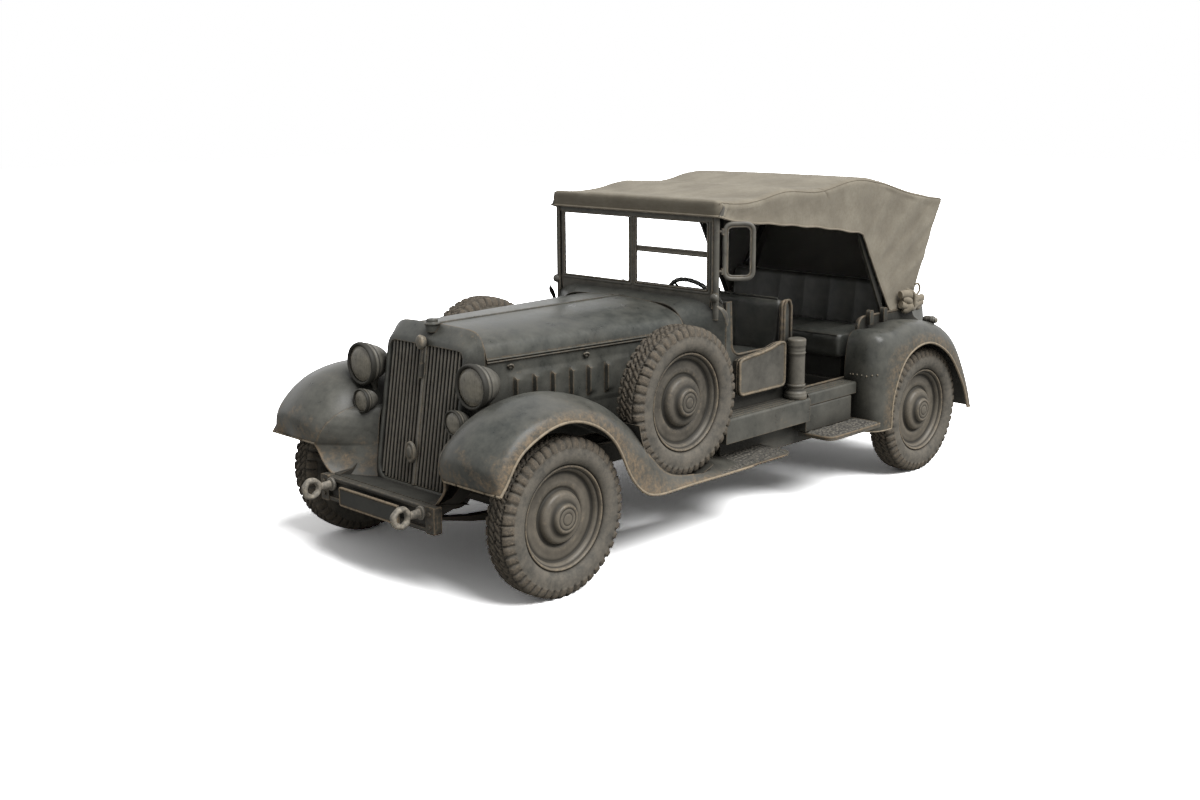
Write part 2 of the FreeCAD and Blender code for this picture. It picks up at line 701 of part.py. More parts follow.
def tie_rod():
    """The rod between the two steering arms; its right eye is open, with play round its pin."""
    place = along(-s.arm_length)
    low = s.arm_level + s.seat_gap
    thick = 2 * s.rod_radius + 4
    end = s.kingpin_y - s.rod_eye / 2
    rail = bar("y", s.rod_radius, end * 2, 8, place, -end, low + thick / 2)
    eyes = [rod("z", s.rod_eye, thick, place, y, low) for y in (s.kingpin_y, -s.kingpin_y)]
    bores = [rod("z", s.rod_pin + s.pin_play, thick + 20, place, s.kingpin_y, low - 10),
             rod("z", s.rod_pin + 4, thick + 20, place, -s.kingpin_y, low - 10)]
    node("tie_rod", cut(fuse(rail, *eyes), *bores))


def rear_axle():
    place = along(-s.wheel_base)
    start = s.kingpin_y - 65
    tube = bar("y", s.axle_tube, s.drum_inner - start + 5, BAR_SIDES, place, start, s.tyre_radius)
    end = fuse(brake_drum(place), tube, spindle(place))
    node("axle_rear", fuse(axle(place, s.axle_ball - 15), both(end)))


def leaf_spring(place):
    """A bundle of leaves slung under the axle: thick at the axle, thin at the eyes."""
    half = s.spring_half
    top = s.tyre_radius - s.axle_tube
    eye = top + s.spring_rise
    bend = top + s.spring_rise * 0.25
    under = [(half, eye - 14), (half * 0.5, bend - s.spring_thick * 0.65), (60, top - s.spring_thick)]
    over = [(60, top), (half * 0.5, bend), (half, eye)]
    outline = [(place - x, z) for x, z in under] + [(place + x, z) for x, z in reversed(under)]
    outline += [(place + x, z) for x, z in reversed(over)] + [(place - x, z) for x, z in over]
    width = s.spring_width / 2
    return side_pad(outline, s.rail_mid - width, s.rail_mid + width)


def springs():
    pairs = [both(leaf_spring(place)) for place in (along(0), along(-s.wheel_base))]
    node("leaf_springs", fuse(*pairs))


def drive_line():
    """The engine with its gearbox as one plain block, and the two propeller shafts."""
    front, rear = along(s.engine_front), along(s.engine_rear)
    half = s.gearbox_half
    low = s.rail_low - 40
    engine = box(rear, front, -s.engine_half, s.engine_half, s.engine_low + s.seat_gap, s.engine_top)
    sump = box(rear, front - 192, -half, half, s.rail_low + 60, s.engine_low + 10)
    gearbox = box(along(s.gearbox_rear), rear + 20, -half, half, low, s.rail_low + 20 - s.seat_gap)
    bell = box(rear - 48, rear + 40, -half, half, low, s.engine_low + 10)
    node("engine_block", fuse(engine, sump, bell, gearbox))
    gap = Vector(float(s.seat_gap), 0, 0)
    high = float(s.rail_low) - 30
    axle_level = float(s.tyre_radius)
    runs = ((Vector(float(along(-169)), 0, axle_level), Vector(float(rear + 40), 0, high)),
            (Vector(float(along(s.gearbox_rear)), 0, high), Vector(float(behind(167)), 0, axle_level)))
    shafts = []
    for start, end in runs:
        run = (end + gap) - (start - gap)
        shafts.append(free(prism(start - gap, run, float(s.shaft_radius), 12)))
    node("propeller_shafts", fuse(*shafts))


def exhaust():
    """The pipe with its muffler, hung from the cross members."""
    y, z = s.pipe_y, s.pipe_z
    tail = behind(350)
    pipe = bar("x", s.pipe_radius, along(-750) - tail, 12, tail, y, z)
    muffler = bar("x", s.muffler_radius, 560, BAR_SIDES, behind(1000), y, z - 20)
    hangers = [box(x - 10, x + 10, y - 12, y + 12, z + 15, s.rail_low + 20 - s.seat_gap)
               for x in (along(-900), along(-1500), behind(900))]
    node("exhaust", fuse(pipe, muffler, *hangers))


# Nose

# Corner radii of the grille's opening
CORNER_TOP = 40.0
CORNER_FOOT = 70.0


def arch(x, half, top, foot, corner, bottom, tilt=0.0):
    """A radiator outline: flat crown, rounded shoulders and lower corners; it leans forward by tilt."""
    right = []
    for turn in (90, 72, 45, 18, 0):
        angle = math.radians(turn)
        right.append((half - corner + corner * math.cos(angle), top - corner + corner * math.sin(angle)))
    for turn in (0, -30, -60, -90):
        angle = math.radians(turn)
        right.append((half - bottom + bottom * math.cos(angle), foot + bottom + bottom * math.sin(angle)))
    points = right + [(-y, z) for y, z in reversed(right)]
    return [Vector(x + tilt * (top - z), y, z) for y, z in points]


def radiator():
    """The raked shell round the grille, its filler cap, and the barred grille with the core."""
    half, wall = float(s.shell_half), float(s.shell_wall)
    rear = float(along(s.shell_rear))
    top, foot = float(s.shell_top), float(s.shell_foot)
    front_top = float(along(s.shell_front_top))
    rake = float(s.shell_front_foot - s.shell_front_top) / (top - foot)
    crown = float(s.bonnet_top)
    outer = skin([arch(front_top, half, top, foot, 60, 90, rake),
                  arch(front_top - 22, half + 10, top + 32, foot + 2, 80, 90, rake),
                  arch(rear, float(s.shell_rear_half), crown, foot + 200, 120, 60)])
    opening = arch(front_top + 30, half - wall, top - wall, foot + wall, CORNER_TOP, CORNER_FOOT, rake)
    shell = free(outer.cut(Part.Face(polygon(opening)).extrude(Vector(-330, 0, 0))))
    cap = faceted("z", [(-30, 0), (-30, 28), (8, 28), (14, 24), (26, 24), (32, 12), (32, 0)], 16,
                  (along(s.shell_rear + 36), 0, s.bonnet_top - 4))
    node("radiator_shell", fuse(shell, cap))
    depth, core = float(s.grille_depth), float(s.grille_core)
    gap = float(s.seat_gap)
    in_top, in_foot, in_half = top - wall - gap, foot + wall + gap, half - wall - gap
    inside = arch(front_top - 20, in_half, in_top, in_foot, CORNER_TOP, CORNER_FOOT, rake)
    slab = Part.Face(polygon(inside)).extrude(Vector(-core, 0, 0))

    def upright(y0, y1, high, low, deep):
        """An upright bar that leans with the radiator."""
        corners = [Vector(front_top - 21 + rake * (in_top - z), y, z)
                   for y, z in ((y0, high), (y1, high), (y1, low), (y0, low))]
        return Part.Face(polygon(corners)).extrude(Vector(deep, 0, 0))
    count = int(s.grille_bars.value)
    pitch = 2 * in_half / (count + 1)
    bars = []
    for i in range(count):
        y = (i - (count - 1) / 2) * pitch
        width = float(s.grille_bar) / 2
        beyond = max(0.0, abs(y) + width - (in_half - CORNER_FOOT))
        drop = CORNER_FOOT - math.sqrt(CORNER_FOOT ** 2 - beyond ** 2) + 3
        bars.append(upright(y - width, y + width, in_top - drop * 0.6, in_foot + drop, depth))
    bars.append(upright(-16, 16, in_top - 2, in_foot + 2, depth + 4))
    node("radiator_grille", free(slab.fuse(bars)))


def half_at(x):
    """Half width of the bonnet at a place along the car, given from the front axle."""
    front, rear = float(s.shell_rear), float(s.bonnet_rear)
    share = (front - x) / (front - rear)
    return float(s.shell_rear_half) + (float(s.bonnet_rear_half) - float(s.shell_rear_half)) * share


def crown_points(x, inset=0.0, start=0.0, below=0.0):
    """The bonnet's cross-section at x, from near the middle out to its lower edge."""
    half = half_at(x) - inset
    top = float(s.bonnet_top) - inset
    edge = float(s.bonnet_edge) - below
    place = float(along(x))
    return [Vector(place, start, top), Vector(place, half * 0.52, top - 12),
            Vector(place, half * 0.84, top - 46), Vector(place, half * 0.97, top - 90),
            Vector(place, half, edge)]


def bonnet():
    """Two leaves hinged at the middle, side panels with louvers, and the centre hinge strip."""
    gap = float(s.move_gap)
    sheet_thick = float(s.bonnet_sheet)
    start = float(s.hinge_half) + float(s.seat_gap)
    front, rear = float(s.shell_rear), float(s.bonnet_rear)
    stations = [front - gap, (front + rear) / 2, rear + gap]
    grids = [[smooth(crown_points(x, inset, start), 11) for x in stations] for inset in (0, sheet_thick)]
    leaf = free(sheet_solid(*grids))
    node("bonnet_left", leaf)
    node("bonnet_right", mirror(leaf))
    x0, x1 = stations[0], stations[-1] - gap + 0.3
    top = float(s.bonnet_edge) - gap
    foot = float(s.panel_foot)
    sheet_out = float(s.panel_sheet)
    plan = [Vector(float(along(x)), half_at(x) - inset, foot)
            for x, inset in ((x0, 0), (x1, 0), (x1, sheet_out), (x0, sheet_out))]
    panel = Part.Face(polygon(plan)).extrude(Vector(0, 0, top - foot))
    ribs = []
    for i in range(int(s.louver_count.value)):
        x = float(s.louver_first) - i * float(s.louver_pitch)
        y = half_at(x)
        section = [Vector(float(along(x)), y - 6, 830), Vector(float(along(x)), y + 20, 830),
                   Vector(float(along(x - 34)), half_at(x - 34) - 6, 830)]
        ribs.append(Part.Face(polygon(section)).extrude(Vector(0, 0, 165)))
    side = free(panel.fuse(ribs))
    strip = box(along(s.bonnet_rear + 0.3), along(s.shell_rear - 0.3), -s.hinge_half, s.hinge_half,
                s.bonnet_top - 12, s.bonnet_top + 4)
    node("bonnet_sides", fuse(both(side), strip))


def cowl_form(inset):
    """The scuttle's form, which flares from the bonnet's width to the body's; inset makes the hollow."""
    foot = float(floor_top + s.seat_gap) - inset
    x0, x1 = float(s.bonnet_rear), float(s.cowl_rear)
    half, wide = float(s.bonnet_rear_half), float(s.side_outer)
    top, high = float(s.bonnet_top), float(s.cowl_top)
    through = 1 if inset else 0
    stations = ((x0 - inset, half, top, (190, 110, 46, 12)),
                ((x0 + x1) / 2, (half + wide) / 2, (top + high) / 2, (140, 75, 29, 7)),
                (x1 - through, wide, high, (90, 40, 12, 2)))
    rings = []
    for x, h, z, falls in stations:
        place = float(along(x))
        crest = [Vector(place, h * share - (inset if share > 0.9 else 0), z - fall - inset)
                 for share, fall in zip((1, 0.975, 0.86, 0.5, 0), falls + (0,))]
        right = [Vector(place, h - inset, foot)] + smooth(crest, 9)
        rings.append(right + [Vector(p.x, -p.y, p.z) for p in reversed(right[:-1])])
    return skin(rings)


def cowl():
    """The hollow scuttle; its front wall is the bulkhead."""
    node("cowl", free(cowl_form(0).cut(cowl_form(float(s.cowl_sheet)))))


# Fenders

def polar(angle, radius, y, centre):
    """A point at an angle above the horizontal, forward of a wheel's axle."""
    turn = math.radians(angle)
    return Vector(centre + radius * math.cos(turn), y, float(s.tyre_radius) + radius * math.sin(turn))


def fender_sheet(sections, across, length, side):
    """A fender from its sections: each is the points of its outer face and the way inward; it stays
    outside the car's side, whose place from the middle is side(x)."""
    thick = float(s.fender_sheet)
    outer = smooth_grid([points for points, inward in sections], across, length)
    inner = smooth_grid([[p + inward * thick for p in points] for points, inward in sections], across, length)
    for row in outer + inner:
        for p in row:
            p.y = max(p.y, side(p.x - float(along(0))))
    return sheet_solid(outer, inner)


# Front fender, gaps over the tyre: angle, inner edge, crown, outer lip
FRONT_ARCH = ((25, 97, 122, 113), (33, 92, 195, 103), (46, 78, 217, 112), (61, 36, 212, 104),
              (76, 6, 194, 97), (92, -10, 186, 84), (110, 14, 187, 62), (128, 68, 203, 40),
              (145, 165, 233, 16), (158, 268, 310, 14))
# Its tail: inner edge, crown and lip as x from the axle and height
FRONT_TAIL = (((-830, 512), (-849, 530), (-510, 412)), ((-1040, 440), (-1047, 456), (-760, 392)),
              ((-1200, 409), (-1210, 416), (-1090, 391)), ((-1330, 401), (-1330, 401), (-1330, 391)))


def beside(x):
    """The nose's side at a place from the axle: bonnet panel behind the shell, the shell itself ahead."""
    rear, front = float(s.shell_rear), 460.0
    if x <= rear:
        return half_at(x) + float(s.seat_gap)
    return half_at(rear) + 16 + (48 - 16) * (x - rear) / (front - rear)


# Corner radius of the front step plate, and the width of the pan round a spare wheel
STEP_CORNER = 60.0
PAN_WIDTH = 190.0


def drum_form(radius, width, start):
    """A many-sided drum along Y with as many facets as a tyre."""
    return faceted("y", [(0, 0), (0, radius), (width, radius), (width, 0)], TYRE_SIDES, start).Shape


def front_shell():
    """The long fender's sheet: rolled front edge, crown and outer lip, swept down to the step."""
    axle_x = float(along(0))
    tyre_r = float(s.tyre_radius)
    outer = float(s.fender_outer)
    crest = outer - 240
    sections = []
    for angle, inner, crown, lip in FRONT_ARCH:
        turn = math.radians(angle)
        low, high, edge = tyre_r + inner, tyre_r + crown, tyre_r + lip
        y0 = beside(low * math.cos(turn))
        rows = ((low, y0), (low + (high - low) * 0.72, y0 + (crest - y0) * 0.42), (high, crest),
                (high - 20 + (edge - high) * 0.1, outer - 85),
                (edge + (high - edge) * 0.45, outer - 24), (edge, outer))
        points = [polar(angle, radius, y, axle_x) for radius, y in rows]
        sections.append((points, Vector(-math.cos(turn), 0, -math.sin(turn))))
    for inner, crown, lip in FRONT_TAIL:
        y0 = beside(inner[0])
        rows = []
        for y, share, base, end in ((y0, 0, inner, crown), (y0 + (crest - y0) * 0.42, 0.72, inner, crown),
                                    (crest, 1, inner, crown), (outer - 85, 0.22, crown, lip),
                                    (outer - 24, 0.62, crown, lip), (outer, 1, crown, lip)):
            rows.append(Vector(axle_x + base[0] + (end[0] - base[0]) * share, y,
                               base[1] + (end[1] - base[1]) * share))
        sections.append((rows, Vector(0, 0, -1)))
    return fender_sheet(sections, 9, 24, beside)


def spare_well():
    """The hole for a spare wheel in the fender, and the pan under it with the foot the tyre stands on."""
    tyre_r = float(s.tyre_radius)
    spare = Vector(float(along(s.spare_x)), float(s.spare_y) - 90, float(s.spare_z))
    gap = float(s.seat_gap) + 4
    hole = drum_form(tyre_r + gap, PAN_WIDTH, spare)
    pan = drum_form(tyre_r + gap + 6, PAN_WIDTH, spare).cut(hole)
    corners = ((0, 0), (480, -52), (480, -500), (-205, -500), (-205, -420))
    keep = Part.Face(polygon([spare + Vector(x, 0, z) for x, z in corners]))
    foot = Part.makeBox(60, PAN_WIDTH - 20, 12, Vector(spare.x - 30, spare.y + 10, spare.z - tyre_r - gap))
    rest = foot.cut(drum_form(tyre_r + float(s.seat_gap), PAN_WIDTH, spare))
    return hole, [pan.common(keep.extrude(Vector(0, PAN_WIDTH, 0))), rest]


def front_step():
    """The step plate behind the fender's tail, with one round corner."""
    front, rear = float(along(0)) - 1250, float(along(s.step_rear))
    inner, outer = float(s.side_outer - s.step_inset), float(s.fender_outer)
    edge = [(front, inner), (front, outer)]
    for turn in range(90, 181, 18):
        angle = math.radians(turn)
        edge.append((rear + STEP_CORNER * (1 + math.cos(angle)), outer - STEP_CORNER * (1 - math.sin(angle))))
    edge.append((rear, inner))
    top = float(s.step_top)
    return Part.Face(polygon([Vector(x, y, top) for x, y in edge])).extrude(Vector(0, 0, -12))


def front_fender():
    """The long front fender with its spare wheel well, step plate and front apron."""
    hole, well = spare_well()
    corners = ((352, 462.5), (420, 462.5), (459, 517), (500, 600), (500, 640), (352, 640))
    apron = Part.Face(polygon([Vector(float(along(436)), y, z) for y, z in corners]))
    return free(front_shell().cut(hole).fuse(well + [front_step(), apron.extrude(Vector(10, 0, 0))]))


# Rear fender, gaps over the tyre: angle, crown, outer lip
REAR_ARCH = ((-4, 192, 50), (18, 226, 58), (32, 300, 68), (39, 345, 76), (45, 368, 82), (54, 288, 86),
             (71, 214, 70), (87, 172, 45), (105, 155, 12), (126, 134, -10), (150, 112, -14),
             (170, 130, 20), (186, 183, 62))


def rear_fender():
    """The rear fender: an upright front wall, a crown over the tyre and a pointed tail."""
    axle_x = float(along(-s.wheel_base))
    tyre_r = float(s.tyre_radius)
    inner_y = float(s.side_outer + s.seat_gap)
    outer = float(s.fender_outer)
    sections = []
    for angle, crown, lip in REAR_ARCH:
        turn = math.radians(angle)
        high = tyre_r + crown
        edge = tyre_r + lip
        rows = ((high - 12, inner_y), (high, outer - 180), (high, outer - 110),
                (high - 10 + (edge - high) * 0.08, outer - 50),
                (edge + (high - edge) * 0.5, outer - 14), (edge, outer))
        points = [polar(angle, radius, y, axle_x) for radius, y in rows]
        sections.append((points, Vector(-math.cos(turn), 0, -math.sin(turn))))
    return free(fender_sheet(sections, 8, 22, lambda x: inner_y))


def fenders():
    """Both pairs of fenders; the left ones are given back, because the lamps stand on them."""
    front, rear = front_fender(), rear_fender()
    node("fenders_front", both(front))
    node("fenders_rear", both(rear))
    return front, rear


def sill_boxes():
    """The box step under the front opening, and the box, plank and step plate under the rear one."""
    y0 = s.side_outer + s.seat_gap
    low, top = s.sill_box_low, s.sill_box_top
    box_front, box_rear = along(-1250), behind(1100)
    step_rear = along(s.step_rear) - 3
    plank, skirt = s.side_outer + s.sill_plank_depth, s.side_outer + s.skirt_depth
    step_in, step_out = s.side_outer + s.sill_step_inset, s.side_outer + s.sill_step_reach
    left = fuse(box(box_rear, box_front, y0, s.side_outer + s.sill_box_depth, low, top),
                box(behind(650), box_rear, y0, plank, s.plank_low, s.plank_top),
                box(behind(600), box_rear - 20, y0, plank, s.plank_top, s.plank_top + 70),
                box(behind(588), box_rear, step_in, step_out, s.plank_low - 28, s.plank_low),
                box(behind(800), step_rear, y0, skirt, s.skirt_low, low),
                box(step_rear, along(-1340), y0, skirt, s.step_top + s.seat_gap, low))
    node("sill_boxes", both(left))


# Body

# The hood's folded straps, which lie on the quarter behind the last bow
HOOD_FOLDS = ((70, 1112), (-60, 1096), (-254, 1036), (-254, 999), (-60, 999), (56, 1072))


def body():
    """Two pressed sides with their openings, the tail with its deck, and the stepped floor."""
    y1 = s.side_outer
    y0 = y1 - s.side_wall
    front = along(s.cowl_rear) - s.seat_gap
    tail = along(s.tail_x)
    pillar0, pillar1 = along(s.pillar_front), along(s.pillar_rear)
    quarter = along(s.quarter_front)
    sill, rear_sill = s.front_sill, s.rear_sill
    outline = [(front, s.side_foot), (front, 1236), (front - 40, 1226), (front - 52, sill + 40),
               (front - 95, sill), (pillar0 + 25, sill), (pillar0, sill + 25), (pillar0, s.pillar_top - 18),
               (pillar0 - 14, s.pillar_top), (pillar1 + 14, s.pillar_top), (pillar1, s.pillar_top - 18),
               (pillar1, rear_sill + 35), (pillar1 - 30, rear_sill), (quarter + 40, rear_sill),
               (quarter + 8, rear_sill + 30), (quarter, s.quarter_top - 35), (quarter - 30, s.quarter_top),
               (tail + 30, s.quarter_top), (tail, s.quarter_top - 30), (tail, 640), (tail + 50, s.side_foot)]
    side = side_pad(outline, y0, y1)
    posts = []
    for x in (behind(348), behind(198)):
        shape = [(x - 20, s.post_foot), (x + 20, s.post_foot), (x + 20, 1026), (x + 8, 1040), (x - 8, 1040),
                 (x - 20, 1026)]
        posts.append(side_pad(shape, y1, y1 + s.post_depth))
    strap = [(behind(x), z) for x, z in HOOD_FOLDS]
    folds = side_pad(strap, y1 - s.hood_inset + s.seat_gap, y1 + s.post_depth + 12)
    node("body_sides", both(fuse(side, folds, *posts)))
    inner = y0 - s.seat_gap
    deck = s.quarter_top
    node("body_tail", fuse(box(tail, tail + 25, -inner, inner, 640, deck),
                           box(tail, tail + s.deck_depth, -inner, inner, deck - 20, deck)))
    high = rear_floor_top
    back = tail + 25 + s.seat_gap
    step_x = along(s.floor_step)
    sheet_thick = s.floor_sheet
    pan = side_pad([(back, high - sheet_thick), (step_x - sheet_thick, high - sheet_thick),
                    (step_x - sheet_thick, floor_top - sheet_thick), (front, floor_top - sheet_thick),
                    (front, floor_top), (step_x, floor_top), (step_x, high), (back, high)], -inner, inner)
    toe = box(front, along(s.bonnet_rear), -480, 480, floor_top - sheet_thick, floor_top)
    base = s.seat_half - 20
    front_base = box(along(s.front_seat_x) - 105, along(s.front_seat_x) + 400, -base, base,
                     floor_top - 1, s.front_cushion_top - s.cushion_thick - s.seat_gap)
    rear_base = box(along(s.rear_seat_x) - 105, along(s.rear_seat_x) + 370, -base, base,
                    high - 1, s.rear_cushion_top - s.cushion_thick - s.seat_gap)
    node("body_floor", fuse(pan, toe, front_base, rear_base))


def seats():
    """Two benches: square cushions, and raked backs with a sloping top."""
    half = s.seat_half
    benches = ((along(s.front_seat_x), s.front_cushion_top), (along(s.rear_seat_x), s.rear_cushion_top))
    cushions = []
    backs = []
    for x, top in benches:
        low = top - s.cushion_thick
        cushions.append(box(x, x + s.cushion_depth, -half, half, low, top))
        front, rear = x - s.seat_gap, x - s.back_thick
        outline = [(front, low), (front, top), (x - 30, s.back_top - 20), (x - 50, s.back_top),
                   (rear, s.back_top - 25), (rear, low)]
        backs.append(side_pad(outline, -half, half))
    node("seat_cushions", fuse(*cushions))
    node("seat_backs", fuse(*backs))


# Windscreen

def wing_frame(inset, thick, low):
    """One wind wing: a rounded frame, or its pane, hinged on the left windscreen post."""
    width, height = float(s.wing_width), float(s.wing_height)
    corner = max(26 - inset * 0.6, 8)
    reach = inset + corner
    outline = []
    for x, z, start in ((width - reach, reach, -90), (width - reach, height - reach, 0),
                        (reach, height - reach, 90), (reach, reach, 180)):
        for turn in (0, 30, 60, 90):
            angle = math.radians(start + turn)
            outline.append(Vector(x + corner * math.cos(angle), -thick / 2,
                                  low + z + corner * math.sin(angle)))
    return Part.Face(polygon(outline)).extrude(Vector(0, thick, 0))


def windscreen():
    """The frame with its panes, a split pane for the driver, the posts and the wind wings."""
    x1 = along(s.screen_x)
    x0 = x1 - s.screen_depth
    half, bar = s.screen_half, s.screen_bar
    low, high = s.screen_low, s.screen_high
    post = s.post_width / 2
    middle = (low + high) / 2 + 10
    panes = [(-half + bar, -post, low + bar, high - bar), (post, half - bar, low + bar, middle - 8),
             (post, half - bar, middle + 8, high - bar)]
    frame_box = box(x0, x1, -half, half, 1190, high)
    holes = [box(x0 - 10, x1 + 10, *pane) for pane in panes]
    stand = box(x0 - 12, x1 + 2, half + 2, half + 40, 1130, high)
    link = box(x0, x1, half - 2, half + 4, low, high)
    solid = fuse(cut(frame_box, *holes), both(stand), both(link))
    wing_low = float(s.wing_low)
    hinge = Vector(float(x0) - 12, float(half) + 42, 0)
    turn = Rotation(AXES["z"], 180 - float(s.wing_splay))
    bar_w = float(s.wing_bar)
    wing = wing_frame(0, 14, wing_low).cut(wing_frame(bar_w, 20, wing_low))
    hinges = [Part.makeCylinder(8, 30, Vector(0, 0, wing_low + z)) for z in (20, float(s.wing_height) - 50)]
    pins = [Part.makeBox(26, 22, 20, Vector(float(x0) - 18, float(half) + 30, wing_low + z + 5))
            for z in (20, float(s.wing_height) - 50)]
    wing = wing.fuse(hinges)
    wing.Placement = Placement(hinge, turn)
    wings = free(wing.fuse(pins))
    seat = free(cowl_form(0))
    node("windscreen_frame", cut(fuse(solid, both(wings)), seat))
    g = s.seat_gap
    mid = (x0 + x1) / 2
    thin = s.glass_sheet / 2
    sheets = [box(mid - thin, mid + thin, y0 + g, y1 - g, z0 + g, z1 - g) for y0, y1, z0, z1 in panes]
    pane = wing_frame(bar_w + 0.3, 5, wing_low)
    pane.Placement = Placement(hinge, turn)
    node("window_glass", fuse(*sheets, both(free(pane))))


def helm():
    """The steering wheel, square to its raked column, which ends at the bulkhead."""
    centre = Vector(float(along(s.helm_x)), float(s.helm_y), float(s.helm_z))
    rake = math.radians(float(s.helm_rake))
    down = Vector(math.cos(rake), 0, -math.sin(rake))
    across = Vector(0, 1, 0)
    upright = across.cross(down)
    ring_r, bar_r = float(s.wheel_ring), float(s.ring_bar)
    section = [(bar_r * math.cos(math.radians(a)), ring_r + bar_r * math.sin(math.radians(a)))
               for a in range(0, 360, 60)]
    ring = faceted("z", section, 32, (0, 0, 0))
    ring.Placement = Placement(centre, Rotation(AXES["z"], down))
    shape = ring.Shape.copy()
    parts = [prism(centre, down * 34, 30, 16)]
    for turn in (90, 210, 330):
        ray = across * math.sin(math.radians(turn)) + upright * math.cos(math.radians(turn))
        parts.append(prism(centre + down * 10, ray * (ring_r - 2), 8, 8))
    node("steering_wheel", free(shape.fuse(parts)))
    start = centre + down * (34 + float(s.seat_gap))
    column = Part.makeCylinder(float(s.column_radius), 520, start, down)
    wall = float(along(s.bonnet_rear) - s.cowl_sheet - s.seat_gap)
    beyond = Part.makeBox(800, 400, 800, Vector(wall, centre.y - 200, 500))
    node("steering_column", free(column.cut(beyond)))


# Hood

# The hood's roof line, its rear edge and the lower edge of its side: the front of each is given from the
# front axle, the rest from the rear axle
ROOF_FRONT = ((-1340, 1782), (-1640, 1768), (-1940, 1808))
ROOF_REAR = ((860, 1790), (580, 1831), (300, 1820), (-30, 1745), (-300, 1688), (-466, 1663))
HOOD_REAR = ((-383, 1517), (-190, 1114), (-144, 1001))
HOOD_FRONT = ((-1340, 1694),)
HEM_REAR = ((0, 1001), (33, 1031), (191, 1234), (310, 1397), (402, 1500), (455, 1516), (831, 1573))
HEM_FRONT = ((-1890, 1617), (-1536, 1655))


def fore(offset):
    """A place in the hood's front part, which stretches with the wheel base."""
    stretch = (s.wheel_base - 2200) / 900
    return along(s.hood_front + (offset - s.hood_front) * stretch)


def bows():
    """The bows' places, with the height of the feet of each."""
    return ((fore(-1940), 1630), (behind(580), 1556), (behind(220), 1150))


def hood_points(front, rear, y=0.0):
    """Points of the hood in its own order, from those at its front and those at its rear."""
    places = [(fore(x), z) for x, z in front] + [(behind(x), z) for x, z in rear]
    return [Vector(float(x), y, z) for x, z in places]


def roof_line(drop=0.0):
    """The roof line over the bows as points along the car."""
    return [p - Vector(0, 0, drop) for p in smooth(hood_points(ROOF_FRONT, ROOF_REAR), 25)]


def roof_height(x, drop=0.0):
    """The height of the roof line at a place along the car."""
    line = roof_line(drop)
    for a, b in zip(line[:-1], line[1:]):
        if b.x <= x <= a.x:
            return a.z + (b.z - a.z) * (a.x - x) / (a.x - b.x)
    return line[-1].z


def inset(chain, depth):
    """The chain of points moved inwards by a depth, square to its own run."""
    runs = [(b - a).normalize() for a, b in zip(chain[:-1], chain[1:])]
    square = [Vector(-run.z, 0, run.x) for run in runs]
    moved = []
    for point, before, after in zip(chain, square[:1] + square, square + square[-1:]):
        moved.append(point + (before + after) * (depth / (1 + before.dot(after))))
    return moved


def hood_face(spine, half, edge):
    """One face of the canvas: strips over the spine with bevelled edges, both side panels, and its rim."""
    low = inset(spine, edge)
    lines = []
    for y, chain in ((-half, low), (edge - half, spine), (half - edge, spine), (half, low)):
        lines.append([Vector(p.x, y, p.z) for p in chain])
    faces = []
    for left, right in zip(lines[:-1], lines[1:]):
        for i in range(len(spine) - 1):
            faces += patch(left[i], left[i + 1], right[i + 1], right[i])
    hems = [hood_points((), HEM_REAR, y) + hood_points(HEM_FRONT, (), y) for y in (-half, half)]
    for line, hem in zip((lines[0], lines[3]), hems):
        faces.append(Part.Face(polygon(line + hem)))
    rim = [line[0] for line in lines] + hems[1][::-1] + [line[-1] for line in reversed(lines)] + hems[0]
    return faces, rim


def canvas():
    """The canvas: valance, roof over the bows, rear curtain and quarters, open at both sides and below."""
    sheet = float(s.hood_sheet)
    half = float(s.hood_half)
    edge = float(s.hood_edge)
    spine = hood_points(HOOD_FRONT, ()) + roof_line() + hood_points((), HOOD_REAR)
    outer, outer_rim = hood_face(spine, half, edge)
    inner, inner_rim = hood_face(inset(spine, sheet), half - sheet, edge - sheet)
    hem = []
    for i, start in enumerate(outer_rim):
        after = (i + 1) % len(outer_rim)
        hem += patch(start, outer_rim[after], inner_rim[after], inner_rim[i])
    node("hood_canvas", free(closed(outer + inner + hem)))


def bow(x, foot):
    """A hood bow: an inverted U under the canvas, its legs against the side irons."""
    size = s.bow_size
    reach = float(size) / 2
    top = min(roof_height(float(x) + shift, float(s.hood_sheet)) for shift in (-reach, reach)) - 0.4
    side = float(s.side_outer - s.side_wall - s.seat_gap)
    outer = [(side, foot), (side, top - 52), (side - 50, top)]
    leg, under = side - float(size) * 0.65, top - float(size)
    inner = [(leg, foot), (leg, top - 62), (side - 62, under)]
    left = [(-y, z) for y, z in reversed(inner)] + [(-y, z) for y, z in outer]
    return front_pad(left + outer[::-1] + inner, x - size / 2, x + size / 2)


def hood_frame():
    """Header, three bows and the folding side irons with their pivots inside the quarters."""
    side = s.side_outer - s.side_wall - s.seat_gap
    inner = side - 16
    header = box(along(-1420), along(s.hood_front) - s.hood_sheet - 2, -side + 40, side - 40,
                 s.screen_high + s.seat_gap, 1750)
    ends = box(along(-1420), along(-1388), side - 60, side, s.screen_high + s.seat_gap, 1722)
    rail = side_pad([(along(-1400), 1698), (behind(460), 1542), (behind(140), 960), (behind(110), 960),
                     (behind(432), 1566), (along(-1400), 1724)], inner, side)
    brace = side_pad([(behind(136), 960), (behind(136), 930), (behind(110), 930), (behind(-370), 1598),
                      (behind(-370), 1626), (behind(-346), 1626)], inner, side)
    rear_bow = box(behind(-370), behind(-346), -side, side, 1602, 1626)
    arches = [bow(x, foot) for x, foot in bows()]
    node("hood_frame", fuse(header, both(ends), both(rail), both(brace), rear_bow, *arches))


# Lamps

# Flat facets round a lamp
LAMP_SIDES = 18


